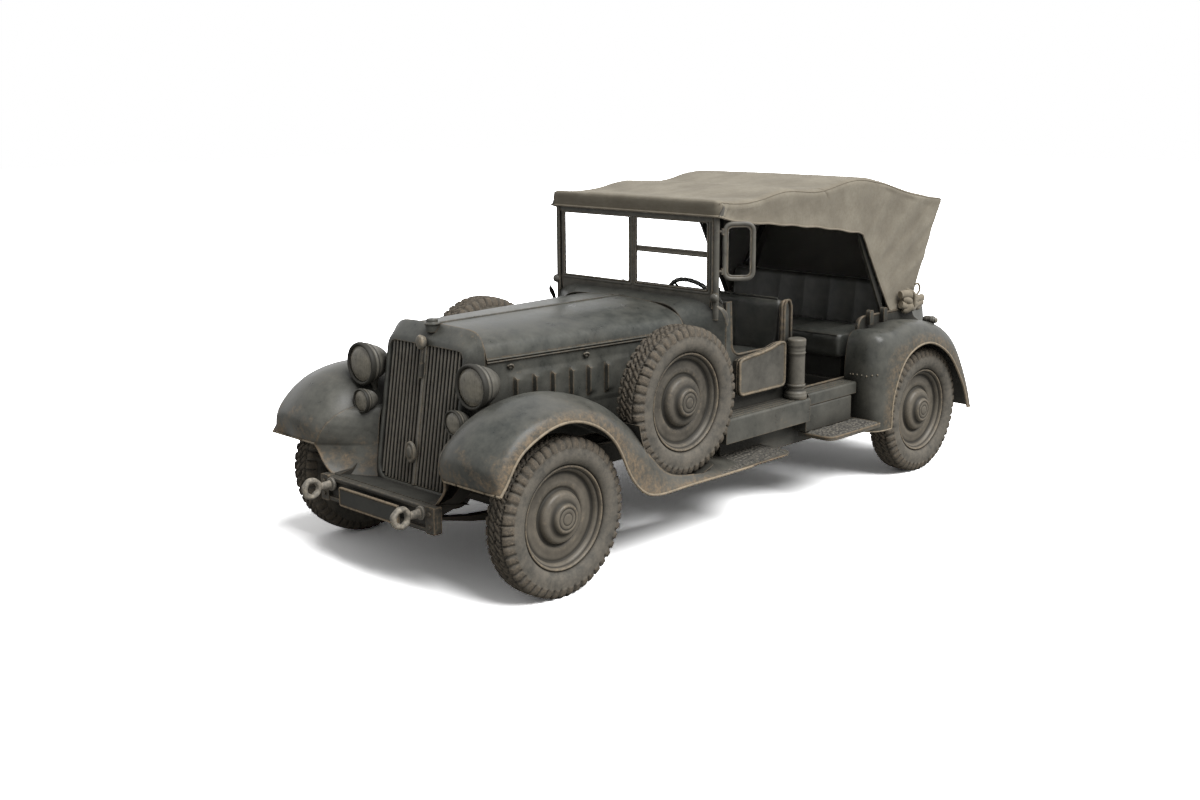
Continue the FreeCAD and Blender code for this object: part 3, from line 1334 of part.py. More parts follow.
def lamps(fender, tail_fender):
    """Headlamps, small lamps and tail lamps on their stalks, and the glasses set in their rims."""
    depth, rim, glass = s.lamp_depth, s.lamp_radius, s.glass_radius
    front = along(s.lamp_front)
    g = s.seat_gap
    lamp = (front, s.lamp_y, s.lamp_z)
    bowl = faceted("x", [(0, glass + g), (0, rim), (-28, rim), (-34, rim - 8), (-90, rim - 22),
                         (-depth + 30, rim - 56), (-depth, 22), (-depth, 0), (-14, 0), (-14, glass + g)],
                   LAMP_SIDES, lamp)
    stalk = bar("z", s.stalk_radius, 230, 10, front - 90, s.lamp_y + 10, s.lamp_z - 290)
    arm = bar("y", 14, 90, 10, front - 120, 340, s.lamp_z)
    small_front = along(s.small_front)
    r2, g2, d2 = s.small_radius, s.small_glass, s.small_depth
    low_lamp = (small_front, s.small_y, s.small_z)
    small = faceted("x", [(0, g2 + g), (0, r2), (-20, r2), (-24, r2 - 6), (-d2 + 20, r2 - 22),
                          (-d2, 12), (-d2, 0), (-8, 0), (-8, g2 + g)], LAMP_SIDES, low_lamp)
    prop = bar("y", s.stalk_radius, 130, 10, small_front - 50, s.small_y + 20, s.small_z - 10)
    bean = faceted("y", [(-46, 0), (-44, 16), (-28, 25), (28, 25), (44, 16), (46, 0)], 10,
                   (behind(-140), s.side_outer + s.bean_reach, s.bean_z))
    lights = cut(fuse(bowl, stalk, small, prop, bean), fender, tail_fender)
    node("lamps", both(lights))
    lens = faceted("x", [(g - 14, 0), (g - 14, glass), (0, glass), (9, glass * 0.55), (12, 0)],
                   LAMP_SIDES, lamp)
    small_lens = faceted("x", [(g - 8, 0), (g - 8, g2), (0, g2), (6, 0)], LAMP_SIDES, low_lamp)
    node("lamp_glasses", both(fuse(lens, small_lens)))


# Stowage on the body sides

def stowage():
    """An open-topped pocket on each side, and an extinguisher standing on the left sill box."""
    y0 = s.side_outer + s.seat_gap
    y1 = y0 + s.pocket_depth
    x0, x1 = along(-1868), along(-1450)
    wall, foot = s.pocket_wall, s.pocket_foot
    outline = [(x0, foot + 15), (x0 + 15, foot), (x1 - 15, foot), (x1, foot + 15), (x1, 935), (x1 - 130, 930),
               (x1 - 270, 944), (x1 - 340, 962), (x0 + 10, 968), (x0, 955)]
    pocket = side_pad(outline, y0, y1)
    hollow = box(x0 + wall, x1 - wall, y0 + wall, y1 - wall, foot + 8, 1000)
    node("stowage_pockets", both(cut(pocket, hollow)))
    r = s.bottle_radius
    bottle = faceted("z", [(0, 0), (0, r + 14), (40, r + 10), (52, r), (236, r), (252, r - 8), (270, r - 26),
                           (300, r - 30), (300, 0)], 18,
                     (along(-1932), s.side_outer + 64, s.sill_box_top + s.seat_gap))
    node("extinguisher", bottle)


floor_top = s.rail_low + s.rail_depth + s.seat_gap + s.floor_sheet
rear_floor_top = s.rail_arch + s.rail_depth - 20 + s.seat_gap + s.floor_sheet

wheels()
frame()
bumper()
front_axle()
knuckle()
tie_rod()
rear_axle()
springs()
drive_line()
exhaust()
radiator()
bonnet()
cowl()
front_left, rear_left = fenders()
sill_boxes()
body()
seats()
windscreen()
helm()
canvas()
hood_frame()
lamps(front_left, rear_left)
stowage()

doc.recompute()
for thing in doc.Objects:
    if "Invalid" in thing.State or "Error" in thing.State:
        raise RuntimeError("%s (%s) failed: %s" % (thing.Name, thing.Label, thing.State))
for thing in nodes:
    if thing.Shape.isNull() or not thing.Shape.isValid() or not thing.Shape.Solids:
        raise RuntimeError("bad shape: " + thing.Label)

os.makedirs("parts", exist_ok=True)
for thing in nodes:
    thing.Shape.exportStep("parts/%s.step" % thing.Label)
print(len(nodes), "nodes written")
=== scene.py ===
# %% [markdown]
# # An open four-wheel-drive staff car
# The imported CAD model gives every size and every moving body. This lesson dresses it: each visible
# form is a surface worked out with numpy from the same numbers, and each finish is a small tree of
# shader nodes. The pieces ride on the CAD's bodies, so wheels still roll and the bonnet still opens.

# %% Load the frame
import math

import bmesh
import bpy
import numpy as np
from mathutils import Matrix, Vector


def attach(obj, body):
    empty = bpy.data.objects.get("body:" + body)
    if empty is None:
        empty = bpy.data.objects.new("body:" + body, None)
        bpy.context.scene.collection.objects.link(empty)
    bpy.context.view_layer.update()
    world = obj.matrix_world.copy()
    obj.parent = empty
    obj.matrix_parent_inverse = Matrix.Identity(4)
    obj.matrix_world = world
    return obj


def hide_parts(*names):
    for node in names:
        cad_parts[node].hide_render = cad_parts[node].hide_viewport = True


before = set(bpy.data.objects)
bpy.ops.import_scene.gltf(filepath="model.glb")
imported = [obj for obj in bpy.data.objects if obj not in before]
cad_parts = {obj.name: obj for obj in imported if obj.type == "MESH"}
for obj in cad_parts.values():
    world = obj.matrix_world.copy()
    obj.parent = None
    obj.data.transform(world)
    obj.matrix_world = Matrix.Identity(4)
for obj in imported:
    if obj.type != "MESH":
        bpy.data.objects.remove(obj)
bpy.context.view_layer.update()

# %% [markdown]
# ## Places
# The car was measured from its front axle, in millimetres, because that is how the photograph gave
# its sizes. One helper turns such numbers into Blender's metres.

# %% Places along the car
FRONT_AXLE = 1565.0
WHEEL_BASE = 3100.0
TYRE_RADIUS = 390.0
BOTH = (1.0, -1.0)


def metres(points):
    """Points (x, y, z) in millimetres from the front axle, as metres: x gains the axle's place, / 1000."""
    moved = np.array(points, float)
    moved[..., 0] += FRONT_AXLE
    return moved / 1000.0


def other_side(points, side):
    """The same points for the left (1) or the right (-1) of the car: y is multiplied by the side."""
    turned = np.array(points, float)
    turned[..., 1] *= side
    return turned


SIDES = (("left", 1.0), ("right", -1.0))

# %% [markdown]
# ## The camera
# The wheels' outlines in the photograph fix where it was taken from. The camera stands there with the
# same focal length, so that every edge can be compared with the picture.

# %% Camera
CAMERA_PLACE = (5.883, 5.299, 2.339)
CAMERA_YAW, CAMERA_PITCH, CAMERA_ROLL = (math.radians(a) for a in (224.428, -12.543, -0.382))
forward = Vector((math.cos(CAMERA_PITCH) * math.cos(CAMERA_YAW),
                  math.cos(CAMERA_PITCH) * math.sin(CAMERA_YAW), math.sin(CAMERA_PITCH)))
level = forward.cross(Vector((0, 0, 1))).normalized()
upright = level.cross(forward)
across = level * math.cos(CAMERA_ROLL) + upright * math.sin(CAMERA_ROLL)
upright = upright * math.cos(CAMERA_ROLL) - level * math.sin(CAMERA_ROLL)
camera = bpy.data.objects.new("camera", bpy.data.cameras.new("camera"))
camera.data.lens = 41.561
camera.data.sensor_width = 36.0
camera.data.clip_end = 200.0
turn = Matrix((across, upright, -forward)).transposed().to_4x4()
camera.matrix_world = Matrix.Translation(CAMERA_PLACE) @ turn
bpy.context.scene.collection.objects.link(camera)
bpy.context.scene.camera = camera

# %% [markdown]
# ## Shader helpers
# A finish is built from a few repeated moves: add a node, mix two colours, stretch a range, read a
# grain. Naming those moves keeps each finish readable.


# %% Shader helpers
class Finish:
    """A new material and short words for the nodes that its finish is built from."""

    def __init__(self, name):
        """Starts the material and reads places on the object, in metres."""
        self.material = bpy.data.materials.new(name)
        self.material.use_nodes = True
        self.tree = self.material.node_tree
        self.shader = self.tree.nodes["Principled BSDF"]
        self.where = self.add("TexCoord").outputs["Object"]

    def set(self, socket, value):
        """Links another node's output to the socket, or writes a plain value into it."""
        if isinstance(value, bpy.types.NodeSocket):
            self.tree.links.new(value, socket)
        else:
            socket.default_value = value

    def add(self, kind, settings=None, **sockets):
        """A new node with its settings and its inputs; _ in a name stands for a blank."""
        node = self.tree.nodes.new("ShaderNode" + kind)
        for key, value in (settings or {}).items():
            setattr(node, key, value)
        for key, value in sockets.items():
            self.set(node.inputs[key.replace("_", " ")], value)
        return node

    def grain(self, scale, detail=5.0, rough=0.6, stretch=None):
        """Noise from 0 to 1; scale is its number of waves in a metre, stretch its scale on each axis."""
        where = self.where
        if stretch:
            where = self.add("Mapping", Vector=where, Scale=stretch).outputs[0]
        return self.add("TexNoise", Vector=where, Scale=scale, Detail=detail, Roughness=rough).outputs["Fac"]

    def math(self, operation, a, b=0.5, clamp=False):
        """One sum of a and b; clamp keeps it from 0 to 1."""
        node = self.add("Math", {"operation": operation, "use_clamp": clamp})
        self.set(node.inputs[0], a)
        self.set(node.inputs[1], b)
        return node.outputs[0]

    def times(self, a, b, clamp=False):
        """a times b."""
        return self.math("MULTIPLY", a, b, clamp)

    def plus(self, a, b, clamp=False):
        """a plus b."""
        return self.math("ADD", a, b, clamp)

    def stretch(self, value, low, high, out_low=0.0, out_high=1.0):
        """The value from low to high becomes out_low to out_high, and stays there beyond."""
        return self.add("MapRange", Value=value, From_Min=low, From_Max=high,
                        To_Min=out_low, To_Max=out_high).outputs[0]

    def mix(self, share, a, b):
        """Colour a where share is 0, b where it is 1."""
        node = self.add("Mix", {"data_type": "RGBA"})
        for socket, value in ((node.inputs[0], share), (node.inputs[6], a), (node.inputs[7], b)):
            self.set(socket, value)
        return node.outputs[2]

    def mark(self):
        """The mark that a piece's own mesh carries, 0 where it has none."""
        return self.add("Attribute", {"attribute_name": "mark"}).outputs["Fac"]

    def edges(self, radius, low, high):
        """1 along sharp edges: there a rounded normal leaves the true one."""
        soft = self.add("Bevel", {"samples": 4}, Radius=radius).outputs[0]
        true = self.add("NewGeometry").outputs["Normal"]
        both = self.add("VectorMath", {"operation": "DOT_PRODUCT"})
        self.set(both.inputs[0], soft)
        self.set(both.inputs[1], true)
        return self.stretch(both.outputs["Value"], 1 - low, 1 - high)

    def corners(self, reach):
        """1 deep in corners that are nearer than reach, 0 in the open: a mask for painted shade where ambient
        light is blocked.
        """
        open_air = self.add("AmbientOcclusion", {"samples": 4}, Distance=reach).outputs["AO"]
        return self.stretch(open_air, 0.93, 0.42)

    def height(self, low, high):
        """0 below low, 1 above high, in metres over the ground."""
        z = self.add("SeparateXYZ", Vector=self.where).outputs["Z"]
        return self.stretch(z, low, high)

    def bump(self, value, strength, depth):
        """Tilts the normal as if value were a relief of the given depth in metres."""
        self.set(self.shader.inputs["Normal"],
                 self.add("Bump", Height=value, Strength=strength, Distance=depth).outputs[0])

    def done(self, colour, rough, **fixed):
        """Sets colour, roughness and any fixed inputs, and gives the finished material."""
        self.set(self.shader.inputs["Base Color"], colour)
        self.set(self.shader.inputs["Roughness"], rough)
        for key, value in fixed.items():
            self.shader.inputs[key.replace("_", " ")].default_value = value
        return self.material


# %% [markdown]
# ## Finishes
# The car wears a dark grey-green satin paint. Handling has rubbed its edges to brown, dust lies in a
# thin coat that thickens towards the ground, and large soft blotches break up the flat panels.


# %% Aged paint
def aged_paint(name, fresh, dusty, worn, gloss=0.36, wear=1.0, dust=1.0, reach=0.13):
    """Fresh paint, mixed with dust by blotches and by height, with bare brown at edges and marks, and with
    painted shade, near black, at negative marks and in corners that are nearer than reach."""
    f = Finish(name)
    blotch = f.grain(2.3, 6.0)
    cloud = f.grain(11.0, 6.0, 0.7)
    scratch = f.grain(42.0, 8.0, 0.75)
    speck = f.grain(260.0, 3.0)
    low = f.math("SUBTRACT", 1.0, f.height(0.25, 1.15))
    coat = f.plus(f.times(blotch, 0.7), f.times(cloud, 0.5))
    coat = f.stretch(f.plus(coat, f.times(low, 0.25)), 0.5, 1.0, 0.0, 0.6 * dust)
    colour = f.mix(f.stretch(cloud, 0.3, 0.7), (*[0.66 * c for c in fresh], 1),
                   (*[1.3 * c for c in fresh], 1))
    colour = f.mix(coat, colour, (*dusty, 1))
    rubbed = f.plus(f.times(f.edges(0.012, 0.01, 0.16), 0.8), f.times(f.mark(), 0.8))
    rubbed = f.times(rubbed, f.stretch(scratch, 0.34, 0.62, 0.3, 1.35))
    rubbed = f.stretch(rubbed, 0.22, 0.9, 0.0, 0.9 * wear)
    patch = f.times(f.stretch(blotch, 0.55, 0.68), f.stretch(scratch, 0.52, 0.66))
    rubbed = f.math("MAXIMUM", rubbed, f.stretch(patch, 0.15, 1.0, 0.0, 0.5 * wear))
    bare = f.mix(f.stretch(scratch, 0.4, 0.7), (*worn, 1), (*[1.5 * c for c in worn], 1))
    colour = f.mix(rubbed, colour, bare)
    # Painted shade: the colour goes near black in corners nearer than reach and in grooves that carry
    # negative marks.
    painted_crevice_shade = f.math("MAXIMUM", f.corners(reach), f.times(f.mark(), -1.0))
    colour = f.mix(f.times(painted_crevice_shade, 0.92), colour, (0.016, 0.015, 0.012, 1))
    rough = f.plus(f.stretch(cloud, 0.3, 0.7, gloss - 0.06, gloss + 0.12), f.times(rubbed, 0.2))
    rough = f.plus(rough, f.times(painted_crevice_shade, 0.3), True)
    f.bump(f.plus(f.times(scratch, 0.7), f.times(speck, 0.3)), 0.2, 0.002)
    return f.done(colour, rough, Specular_IOR_Level=0.3)


BODY_GREY = (0.068, 0.072, 0.065)
ROAD_DUST = (0.190, 0.174, 0.144)
BARE_BROWN = (0.205, 0.152, 0.098)
paint = aged_paint("aged_paint", BODY_GREY, ROAD_DUST, BARE_BROWN, 0.31)
bright_paint = aged_paint("aged_paint_worn", (0.140, 0.134, 0.116), (0.215, 0.196, 0.160),
                          (0.290, 0.236, 0.168), 0.30, 1.3, 1.0, 0.03)
disc_paint = aged_paint("wheel_paint", (0.088, 0.080, 0.067), (0.235, 0.204, 0.160), (0.285, 0.225, 0.155),
                        0.38, 1.4, 1.1, 0.028)
chassis_paint = aged_paint("chassis_paint", (0.040, 0.038, 0.034), (0.110, 0.098, 0.078),
                           (0.120, 0.084, 0.052), 0.6, 1.0, 1.1)
bumper_paint = aged_paint("bumper_paint", (0.045, 0.044, 0.039), (0.125, 0.112, 0.090), (0.215, 0.168, 0.115),
                          0.42, 1.3, 0.8)
cast_iron = aged_paint("worn_iron", (0.130, 0.122, 0.108), (0.200, 0.186, 0.160), (0.340, 0.300, 0.240), 0.42,
                       1.4, 0.9, 0.04)
pocket_paint = aged_paint("pocket_paint", (0.098, 0.094, 0.082), (0.205, 0.188, 0.155), (0.235, 0.188, 0.130),
                          0.40, 1.1, 1.0)
bottle_paint = aged_paint("bottle_paint", (0.150, 0.140, 0.118), (0.230, 0.208, 0.168), (0.205, 0.160, 0.110),
                          0.38, 1.2, 1.0)
dark_paint = aged_paint("inner_paint", (0.030, 0.031, 0.028), (0.080, 0.075, 0.062), (0.105, 0.085, 0.058),
                        0.5, 0.8, 0.8)


# %% [markdown]
# Tyres are rubber under dried mud: the mud's mark is high over the lugs and low on the side wall, and the
# grooves get painted shade. The canvas is a plain weave, bleached on top, darker along its hem, in its dips
# and along its folds, and with painted shade on its front header.

# %% Rubber
def muddy_rubber():
    """Mud's share is (0.75 mark + 0.38 cake) times crumbs; grooves get painted shade and crumbs stand out."""
    f = Finish("muddy_rubber")
    crumb = f.grain(85.0, 8.0, 0.75)
    cake = f.grain(17.0, 6.0, 0.65)
    fine = f.grain(420.0, 4.0)
    mud = f.plus(f.times(f.mark(), 0.75), f.times(f.stretch(cake, 0.35, 0.7), 0.38))
    mud = f.times(mud, f.stretch(crumb, 0.32, 0.6, 0.35, 1.15), True)
    soil = f.mix(f.stretch(crumb, 0.38, 0.68), (0.088, 0.072, 0.055, 1), (0.235, 0.196, 0.150, 1))
    wall = f.mix(f.stretch(cake, 0.35, 0.65), (0.105, 0.100, 0.088, 1), (0.215, 0.198, 0.168, 1))
    rough_grain = f.plus(f.times(crumb, f.stretch(f.mark(), 0.0, 1.0, 0.25, 1.0)),
                         f.times(fine, 0.18))
    f.bump(rough_grain, 0.75, 0.006)
    # Painted shade: the colour goes near black in grooves and corners, where ambient light is blocked.
    colour = f.mix(f.times(f.corners(0.022), 0.9), f.mix(mud, wall, soil), (0.014, 0.012, 0.010, 1))
    return f.done(colour, f.stretch(cake, 0.3, 0.7, 0.62, 0.9), Specular_IOR_Level=0.12)


rubber = muddy_rubber()


# %% Canvas and leather
THREADS = 70.0
LINING_MARK = 2.0


def woven(name, thread, bleached, stain):
    """Three crossed waves make the weave; long stains and bleached tops come from stretched noise.
    Marks up to 1 darken the cloth towards a darker stain colour: along the hem, in dips and folds, and as
    painted shade on the front header; LINING_MARK is the darker lining."""
    f = Finish(name)
    warp, weft, rise = [f.add("TexWave", {"wave_type": "BANDS", "bands_direction": axis},
                              Vector=f.where, Scale=THREADS).outputs["Fac"] for axis in "XYZ"]
    weave = f.plus(f.times(warp, weft), f.times(rise, 0.5))
    cloud = f.grain(4.5, 7.0, 0.62)
    fibre = f.grain(60.0, 7.0, 0.7, (1.0, 0.35, 1.0))
    colour = f.mix(f.stretch(cloud, 0.32, 0.66), (*thread, 1), (*bleached, 1))
    colour = f.mix(f.stretch(fibre, 0.42, 0.75, 0.0, 0.5), colour, (*stain, 1))
    colour = f.mix(f.stretch(f.mark(), 0.0, 1.0, 0.0, 0.75), colour, (*[0.55 * c for c in stain], 1))
    colour = f.mix(f.stretch(f.mark(), LINING_MARK - 0.7, LINING_MARK - 0.3), colour,
                   f.mix(cloud, (0.090, 0.084, 0.072, 1), (0.150, 0.140, 0.120, 1)))
    f.bump(f.plus(f.times(weave, 0.35), f.times(fibre, 0.65)), 0.35, 0.003)
    return f.done(colour, f.stretch(cloud, 0.3, 0.7, 0.82, 0.95), Sheen_Weight=0.12, Sheen_Roughness=0.5)


canvas_cloth = woven("weathered_canvas", (0.235, 0.208, 0.160), (0.360, 0.325, 0.256), (0.205, 0.168, 0.116))
canvas_hem = woven("canvas_hem", (0.240, 0.205, 0.152), (0.340, 0.298, 0.228), (0.150, 0.115, 0.076))


def worn_leather():
    """Dark pebbled leather: fine cells, creases, and pale edges where the creases are strong."""
    f = Finish("worn_leather")
    pebble = f.add("TexVoronoi", {"feature": "DISTANCE_TO_EDGE"}, Vector=f.where,
                   Scale=210.0).outputs["Distance"]
    cloud = f.grain(7.0, 6.0)
    crease = f.grain(48.0, 6.0, 0.7)
    colour = f.mix(f.stretch(cloud, 0.35, 0.68), (0.034, 0.036, 0.032, 1), (0.066, 0.065, 0.056, 1))
    colour = f.mix(f.times(f.edges(0.02, 0.01, 0.2), f.stretch(crease, 0.45, 0.7)), colour,
                   (0.105, 0.088, 0.064, 1))
    f.bump(f.plus(f.times(f.stretch(pebble, 0.0, 0.25), 0.5), crease), 0.3, 0.002)
    return f.done(colour, f.stretch(crease, 0.3, 0.7, 0.34, 0.52), Specular_IOR_Level=0.4)


leather = worn_leather()


# %% Lamps, glass and tread plate
def dull_lens():
    """A dusty lens: tan film over glass, thicker in blotches."""
    f = Finish("dusty_lens")
    film = f.grain(26.0, 6.0, 0.65)
    rays = f.add("TexWave", {"wave_type": "BANDS", "bands_direction": "Y"}, Vector=f.where, Scale=22.0,
                 Distortion=0.6).outputs["Fac"]
    colour = f.mix(f.stretch(film, 0.35, 0.68), (0.130, 0.118, 0.092, 1), (0.300, 0.270, 0.210, 1))
    colour = f.mix(f.stretch(rays, 0.6, 1.0, 0.0, 0.18), colour, (0.36, 0.34, 0.28, 1))
    f.bump(f.plus(f.times(rays, 0.25), f.times(film, 0.5)), 0.25, 0.002)
    return f.done(colour, f.stretch(film, 0.3, 0.7, 0.22, 0.5), Coat_Weight=0.25, Coat_Roughness=0.2)


def clear_glass():
    """Clear glass whose bending of light is kept small, so that a pane shows what lies straight behind it."""
    f = Finish("clear_glass")
    rough = f.stretch(f.grain(9.0, 5.0), 0.4, 0.8, 0.0, 0.03)
    return f.done((1.0, 1.0, 1.0, 1), rough, Transmission_Weight=1.0, IOR=1.06)


def tread_plate():
    """Stamped, gritty rubber: dark pits between worn knobs."""
    f = Finish("tread_plate")
    knobs = f.add("TexVoronoi", {"feature": "F1"}, Vector=f.where, Scale=58.0).outputs["Distance"]
    crumb = f.grain(120.0, 6.0, 0.7)
    colour = f.mix(f.stretch(knobs, 0.15, 0.6), (0.215, 0.195, 0.160, 1), (0.060, 0.057, 0.050, 1))
    colour = f.mix(f.stretch(crumb, 0.5, 0.72, 0.0, 0.7), colour, (0.300, 0.275, 0.235, 1))
    f.bump(f.math("SUBTRACT", crumb, knobs), 0.9, 0.008)
    return f.done(colour, 0.8)


lens = dull_lens()
glass = clear_glass()
tread = tread_plate()
print("finishes", len(bpy.data.materials))

# %% [markdown]
# ## Studio
# A pale floor and soft, even light. The background is white only to the camera and in reflections;
# the floor's own colour is lifted for the camera, so it is white in the light and grey in the shadow.

# %% Studio
floor_mesh = bpy.data.meshes.new("studio_floor")
floor_mesh.from_pydata([(-40, -40, 0), (40, -40, 0), (40, 40, 0), (-40, 40, 0)], [], [(0, 1, 2, 3)])
floor = bpy.data.objects.new("studio_floor", floor_mesh)
bpy.context.scene.collection.objects.link(floor)
f = Finish("studio_floor")
rays = f.add("LightPath").outputs
seen = f.math("MAXIMUM", rays["Is Camera Ray"], rays["Is Transmission Ray"])
diffuse = f.add("BsdfDiffuse", Color=f.mix(seen, (0.32, 0.32, 0.31, 1), (3.2, 3.2, 3.2, 1)))
f.tree.links.new(diffuse.outputs[0], f.tree.nodes["Material Output"].inputs["Surface"])
floor_mesh.materials.append(f.material)

world = bpy.data.worlds.new("studio")
world.use_nodes = True
bpy.context.scene.world = world
sky = world.node_tree
path = sky.nodes.new("ShaderNodeLightPath")
direct = path.outputs["Is Camera Ray"]
for ray in ("Is Glossy Ray", "Is Transmission Ray"):
    either = sky.nodes.new("ShaderNodeMath")
    either.operation = "MAXIMUM"
    sky.links.new(direct, either.inputs[0])
    sky.links.new(path.outputs[ray], either.inputs[1])
    direct = either.outputs[0]
level_of_light = sky.nodes.new("ShaderNodeMapRange")
level_of_light.inputs["To Min"].default_value = 0.24
level_of_light.inputs["To Max"].default_value = 1.0
sky.links.new(direct, level_of_light.inputs["Value"])
sky.nodes["Background"].inputs["Color"].default_value = (1, 1, 1, 1)
sky.links.new(level_of_light.outputs[0], sky.nodes["Background"].inputs["Strength"])

sun = bpy.data.objects.new("key_light", bpy.data.lights.new("key_light", "SUN"))
sun.data.energy = 3.5
sun.data.angle = math.radians(42)
sun.rotation_euler = Vector((-0.05, 0.62, 0.85)).to_track_quat("Z", "Y").to_euler()
bpy.context.scene.collection.objects.link(sun)
bpy.context.scene.view_settings.view_transform = "Standard"

# %% [markdown]
# ## Mesh helpers
# A surface is a grid of points, a turned profile, a tube on a path or a plate. Each helper returns
# points, faces and a mark for every point; piece() joins any number of them into one closed object.


# %% Curves and grids
def spline(points, count):
    """A smooth curve through points, read at count even places.
    Between neighbours it is a + b u + c u^2 + d u^3, with slope and bend carried across each point."""
    points = np.asarray(points, float)
    flat = points.reshape(len(points), -1)
    run = np.linalg.norm(np.diff(points, axis=0), axis=-1).reshape(len(points) - 1, -1).mean(axis=1)
    run = np.maximum(run, 1e-9)
    place = np.concatenate([[0.0], np.cumsum(run)])
    system = np.eye(len(points))
    wanted = np.zeros_like(flat)
    i = np.arange(1, len(points) - 1)
    system[i, i - 1], system[i, i], system[i, i + 1] = run[:-1], 2 * (run[:-1] + run[1:]), run[1:]
    wanted[1:-1] = 6 * np.diff(np.diff(flat, axis=0) / run[:, None], axis=0)
    bend = np.linalg.solve(system, wanted)
    at = np.linspace(0, place[-1], count)
    k = np.clip(np.searchsorted(place, at, side="right") - 1, 0, len(points) - 2)
    u, h = (at - place[k])[:, None], run[k][:, None]
    curve = (bend[k] * (h - u) ** 3 + bend[k + 1] * u ** 3) / (6 * h)
    curve += (flat[k] / h - bend[k] * h / 6) * (h - u) + (flat[k + 1] / h - bend[k + 1] * h / 6) * u
    return curve.reshape((count,) + points.shape[1:])


def between(points, count):
    """Count even places along the straight runs through points."""
    points = np.asarray(points, float)
    place = np.concatenate([[0.0], np.cumsum(np.linalg.norm(np.diff(points, axis=0), axis=-1))])
    at = np.linspace(0, place[-1], count)
    return np.stack([np.interp(at, place, points[:, k]) for k in range(points.shape[1])], axis=-1)


def eased(line):
    """A line whose inner points become half themselves and a quarter of each neighbour."""
    inner = line[1:-1] * 0.5 + (line[:-2] + line[2:]) * 0.25
    return np.concatenate([line[:1], inner, line[-1:]])


def rounded(points, radius, steps=6, closed=True):
    """A polygon with its corners rounded: each becomes a curve that starts and ends radius away from it."""
    points = np.asarray(points, float)
    radius = np.broadcast_to(np.asarray(radius, float), (len(points),))
    before, after = np.roll(points, 1, axis=0) - points, np.roll(points, -1, axis=0) - points
    back, ahead = np.linalg.norm(before, axis=1), np.linalg.norm(after, axis=1)
    reach = np.minimum(radius, np.minimum(back, ahead) * 0.49)[:, None]
    start, end = points + before / back[:, None] * reach, points + after / ahead[:, None] * reach
    t = np.linspace(0, 1, steps)[None, :, None]
    arcs = (1 - t) ** 2 * start[:, None] + 2 * t * (1 - t) * points[:, None] + t ** 2 * end[:, None]
    if not closed:
        arcs[0], arcs[-1] = points[0], points[-1]
    return arcs.reshape(-1, points.shape[1])


def ripple(x, y, wave, seed, octaves=4):
    """Smooth unevenness from -1 to 1: a sum of sine waves in seeded directions, each shorter and weaker."""
    rng = np.random.default_rng(seed)
    total = np.zeros(np.broadcast(x, y).shape)
    reach = 0.0
    for octave in range(octaves):
        for _ in range(3):
            angle, phase = rng.uniform(0, 2 * np.pi, 2)
            k = 2 * np.pi * 2 ** octave / wave * rng.uniform(0.8, 1.25)
            total = total + 0.6 ** octave * np.sin(k * (x * np.cos(angle) + y * np.sin(angle)) + phase)
            reach += 0.6 ** octave
    return total / reach


def ease(value, low, high):
    """0 below low, 1 above high, and 3t^2 - 2t^3 between."""
    t = np.clip((value - low) / (high - low), 0, 1)
    return t * t * (3 - 2 * t)


# %% Parts of a piece
def grid_part(grid, wrap_rows=False, wrap_columns=False, mark=0.0):
    """Faces between the neighbours of a grid of points; a wrapped way joins its last line to its first."""
    rows, columns = grid.shape[:2]
    index = np.arange(rows * columns).reshape(rows, columns)
    if wrap_rows:
        index = np.concatenate([index, index[:1]], axis=0)
    if wrap_columns:
        index = np.concatenate([index, index[:, :1]], axis=1)
    faces = np.stack([index[:-1, :-1], index[1:, :-1], index[1:, 1:], index[:-1, 1:]], axis=-1).reshape(-1, 4)
    marks = np.broadcast_to(np.asarray(mark, float), (rows, columns)).reshape(-1)
    return grid.reshape(-1, 3), faces.tolist(), marks


def end_faces(rows, columns):
    """Faces that close the first and last row of a wrapped sheet, from its top to its underside."""
    j = np.arange(columns - 1)
    faces = []
    for row in (0, rows - 1):
        base = row * columns * 2
        faces += np.stack([base + j, base + j + 1, base + 2 * columns - 2 - j, base + 2 * columns - 1 - j],
                          axis=-1).tolist()
    return faces


def sheet_part(grid, thickness, mark=0.0, inward=1.0):
    """A closed sheet: the grid, the same grid moved against its normals, and the four rims between.
    The normal is the cross product of the two directions in which neighbours lie."""
    along_rows, along_columns = np.gradient(grid, axis=0), np.gradient(grid, axis=1)
    normal = np.cross(along_rows, along_columns)
    normal /= np.maximum(np.linalg.norm(normal, axis=-1, keepdims=True), 1e-9)
    under = grid - normal * thickness * inward
    marks = np.broadcast_to(np.asarray(mark, float), grid.shape[:2])
    loop = np.concatenate([grid, under[:, ::-1]], axis=1)
    points, faces, marks = grid_part(loop, wrap_columns=True,
                                     mark=np.concatenate([marks, marks[:, ::-1]], axis=1))
    return points, faces + end_faces(*grid.shape[:2]), marks


def turned_part(profile, centre, axis="y", steps=96, mark=0.0):
    """A profile of (place on the axis, radius) turned about the axis: r cos(a) and r sin(a) across it."""
    profile = np.asarray(profile, float)
    angle = np.arange(steps) * 2 * np.pi / steps
    place = np.broadcast_to(profile[:, 0], (steps, len(profile)))
    c, s = np.cos(angle)[:, None] * profile[:, 1], np.sin(angle)[:, None] * profile[:, 1]
    order = {"x": (place, c, s), "y": (c, place, s), "z": (c, s, place)}[axis]
    return grid_part(np.stack(order, axis=-1) + np.asarray(centre, float), True, mark=mark)


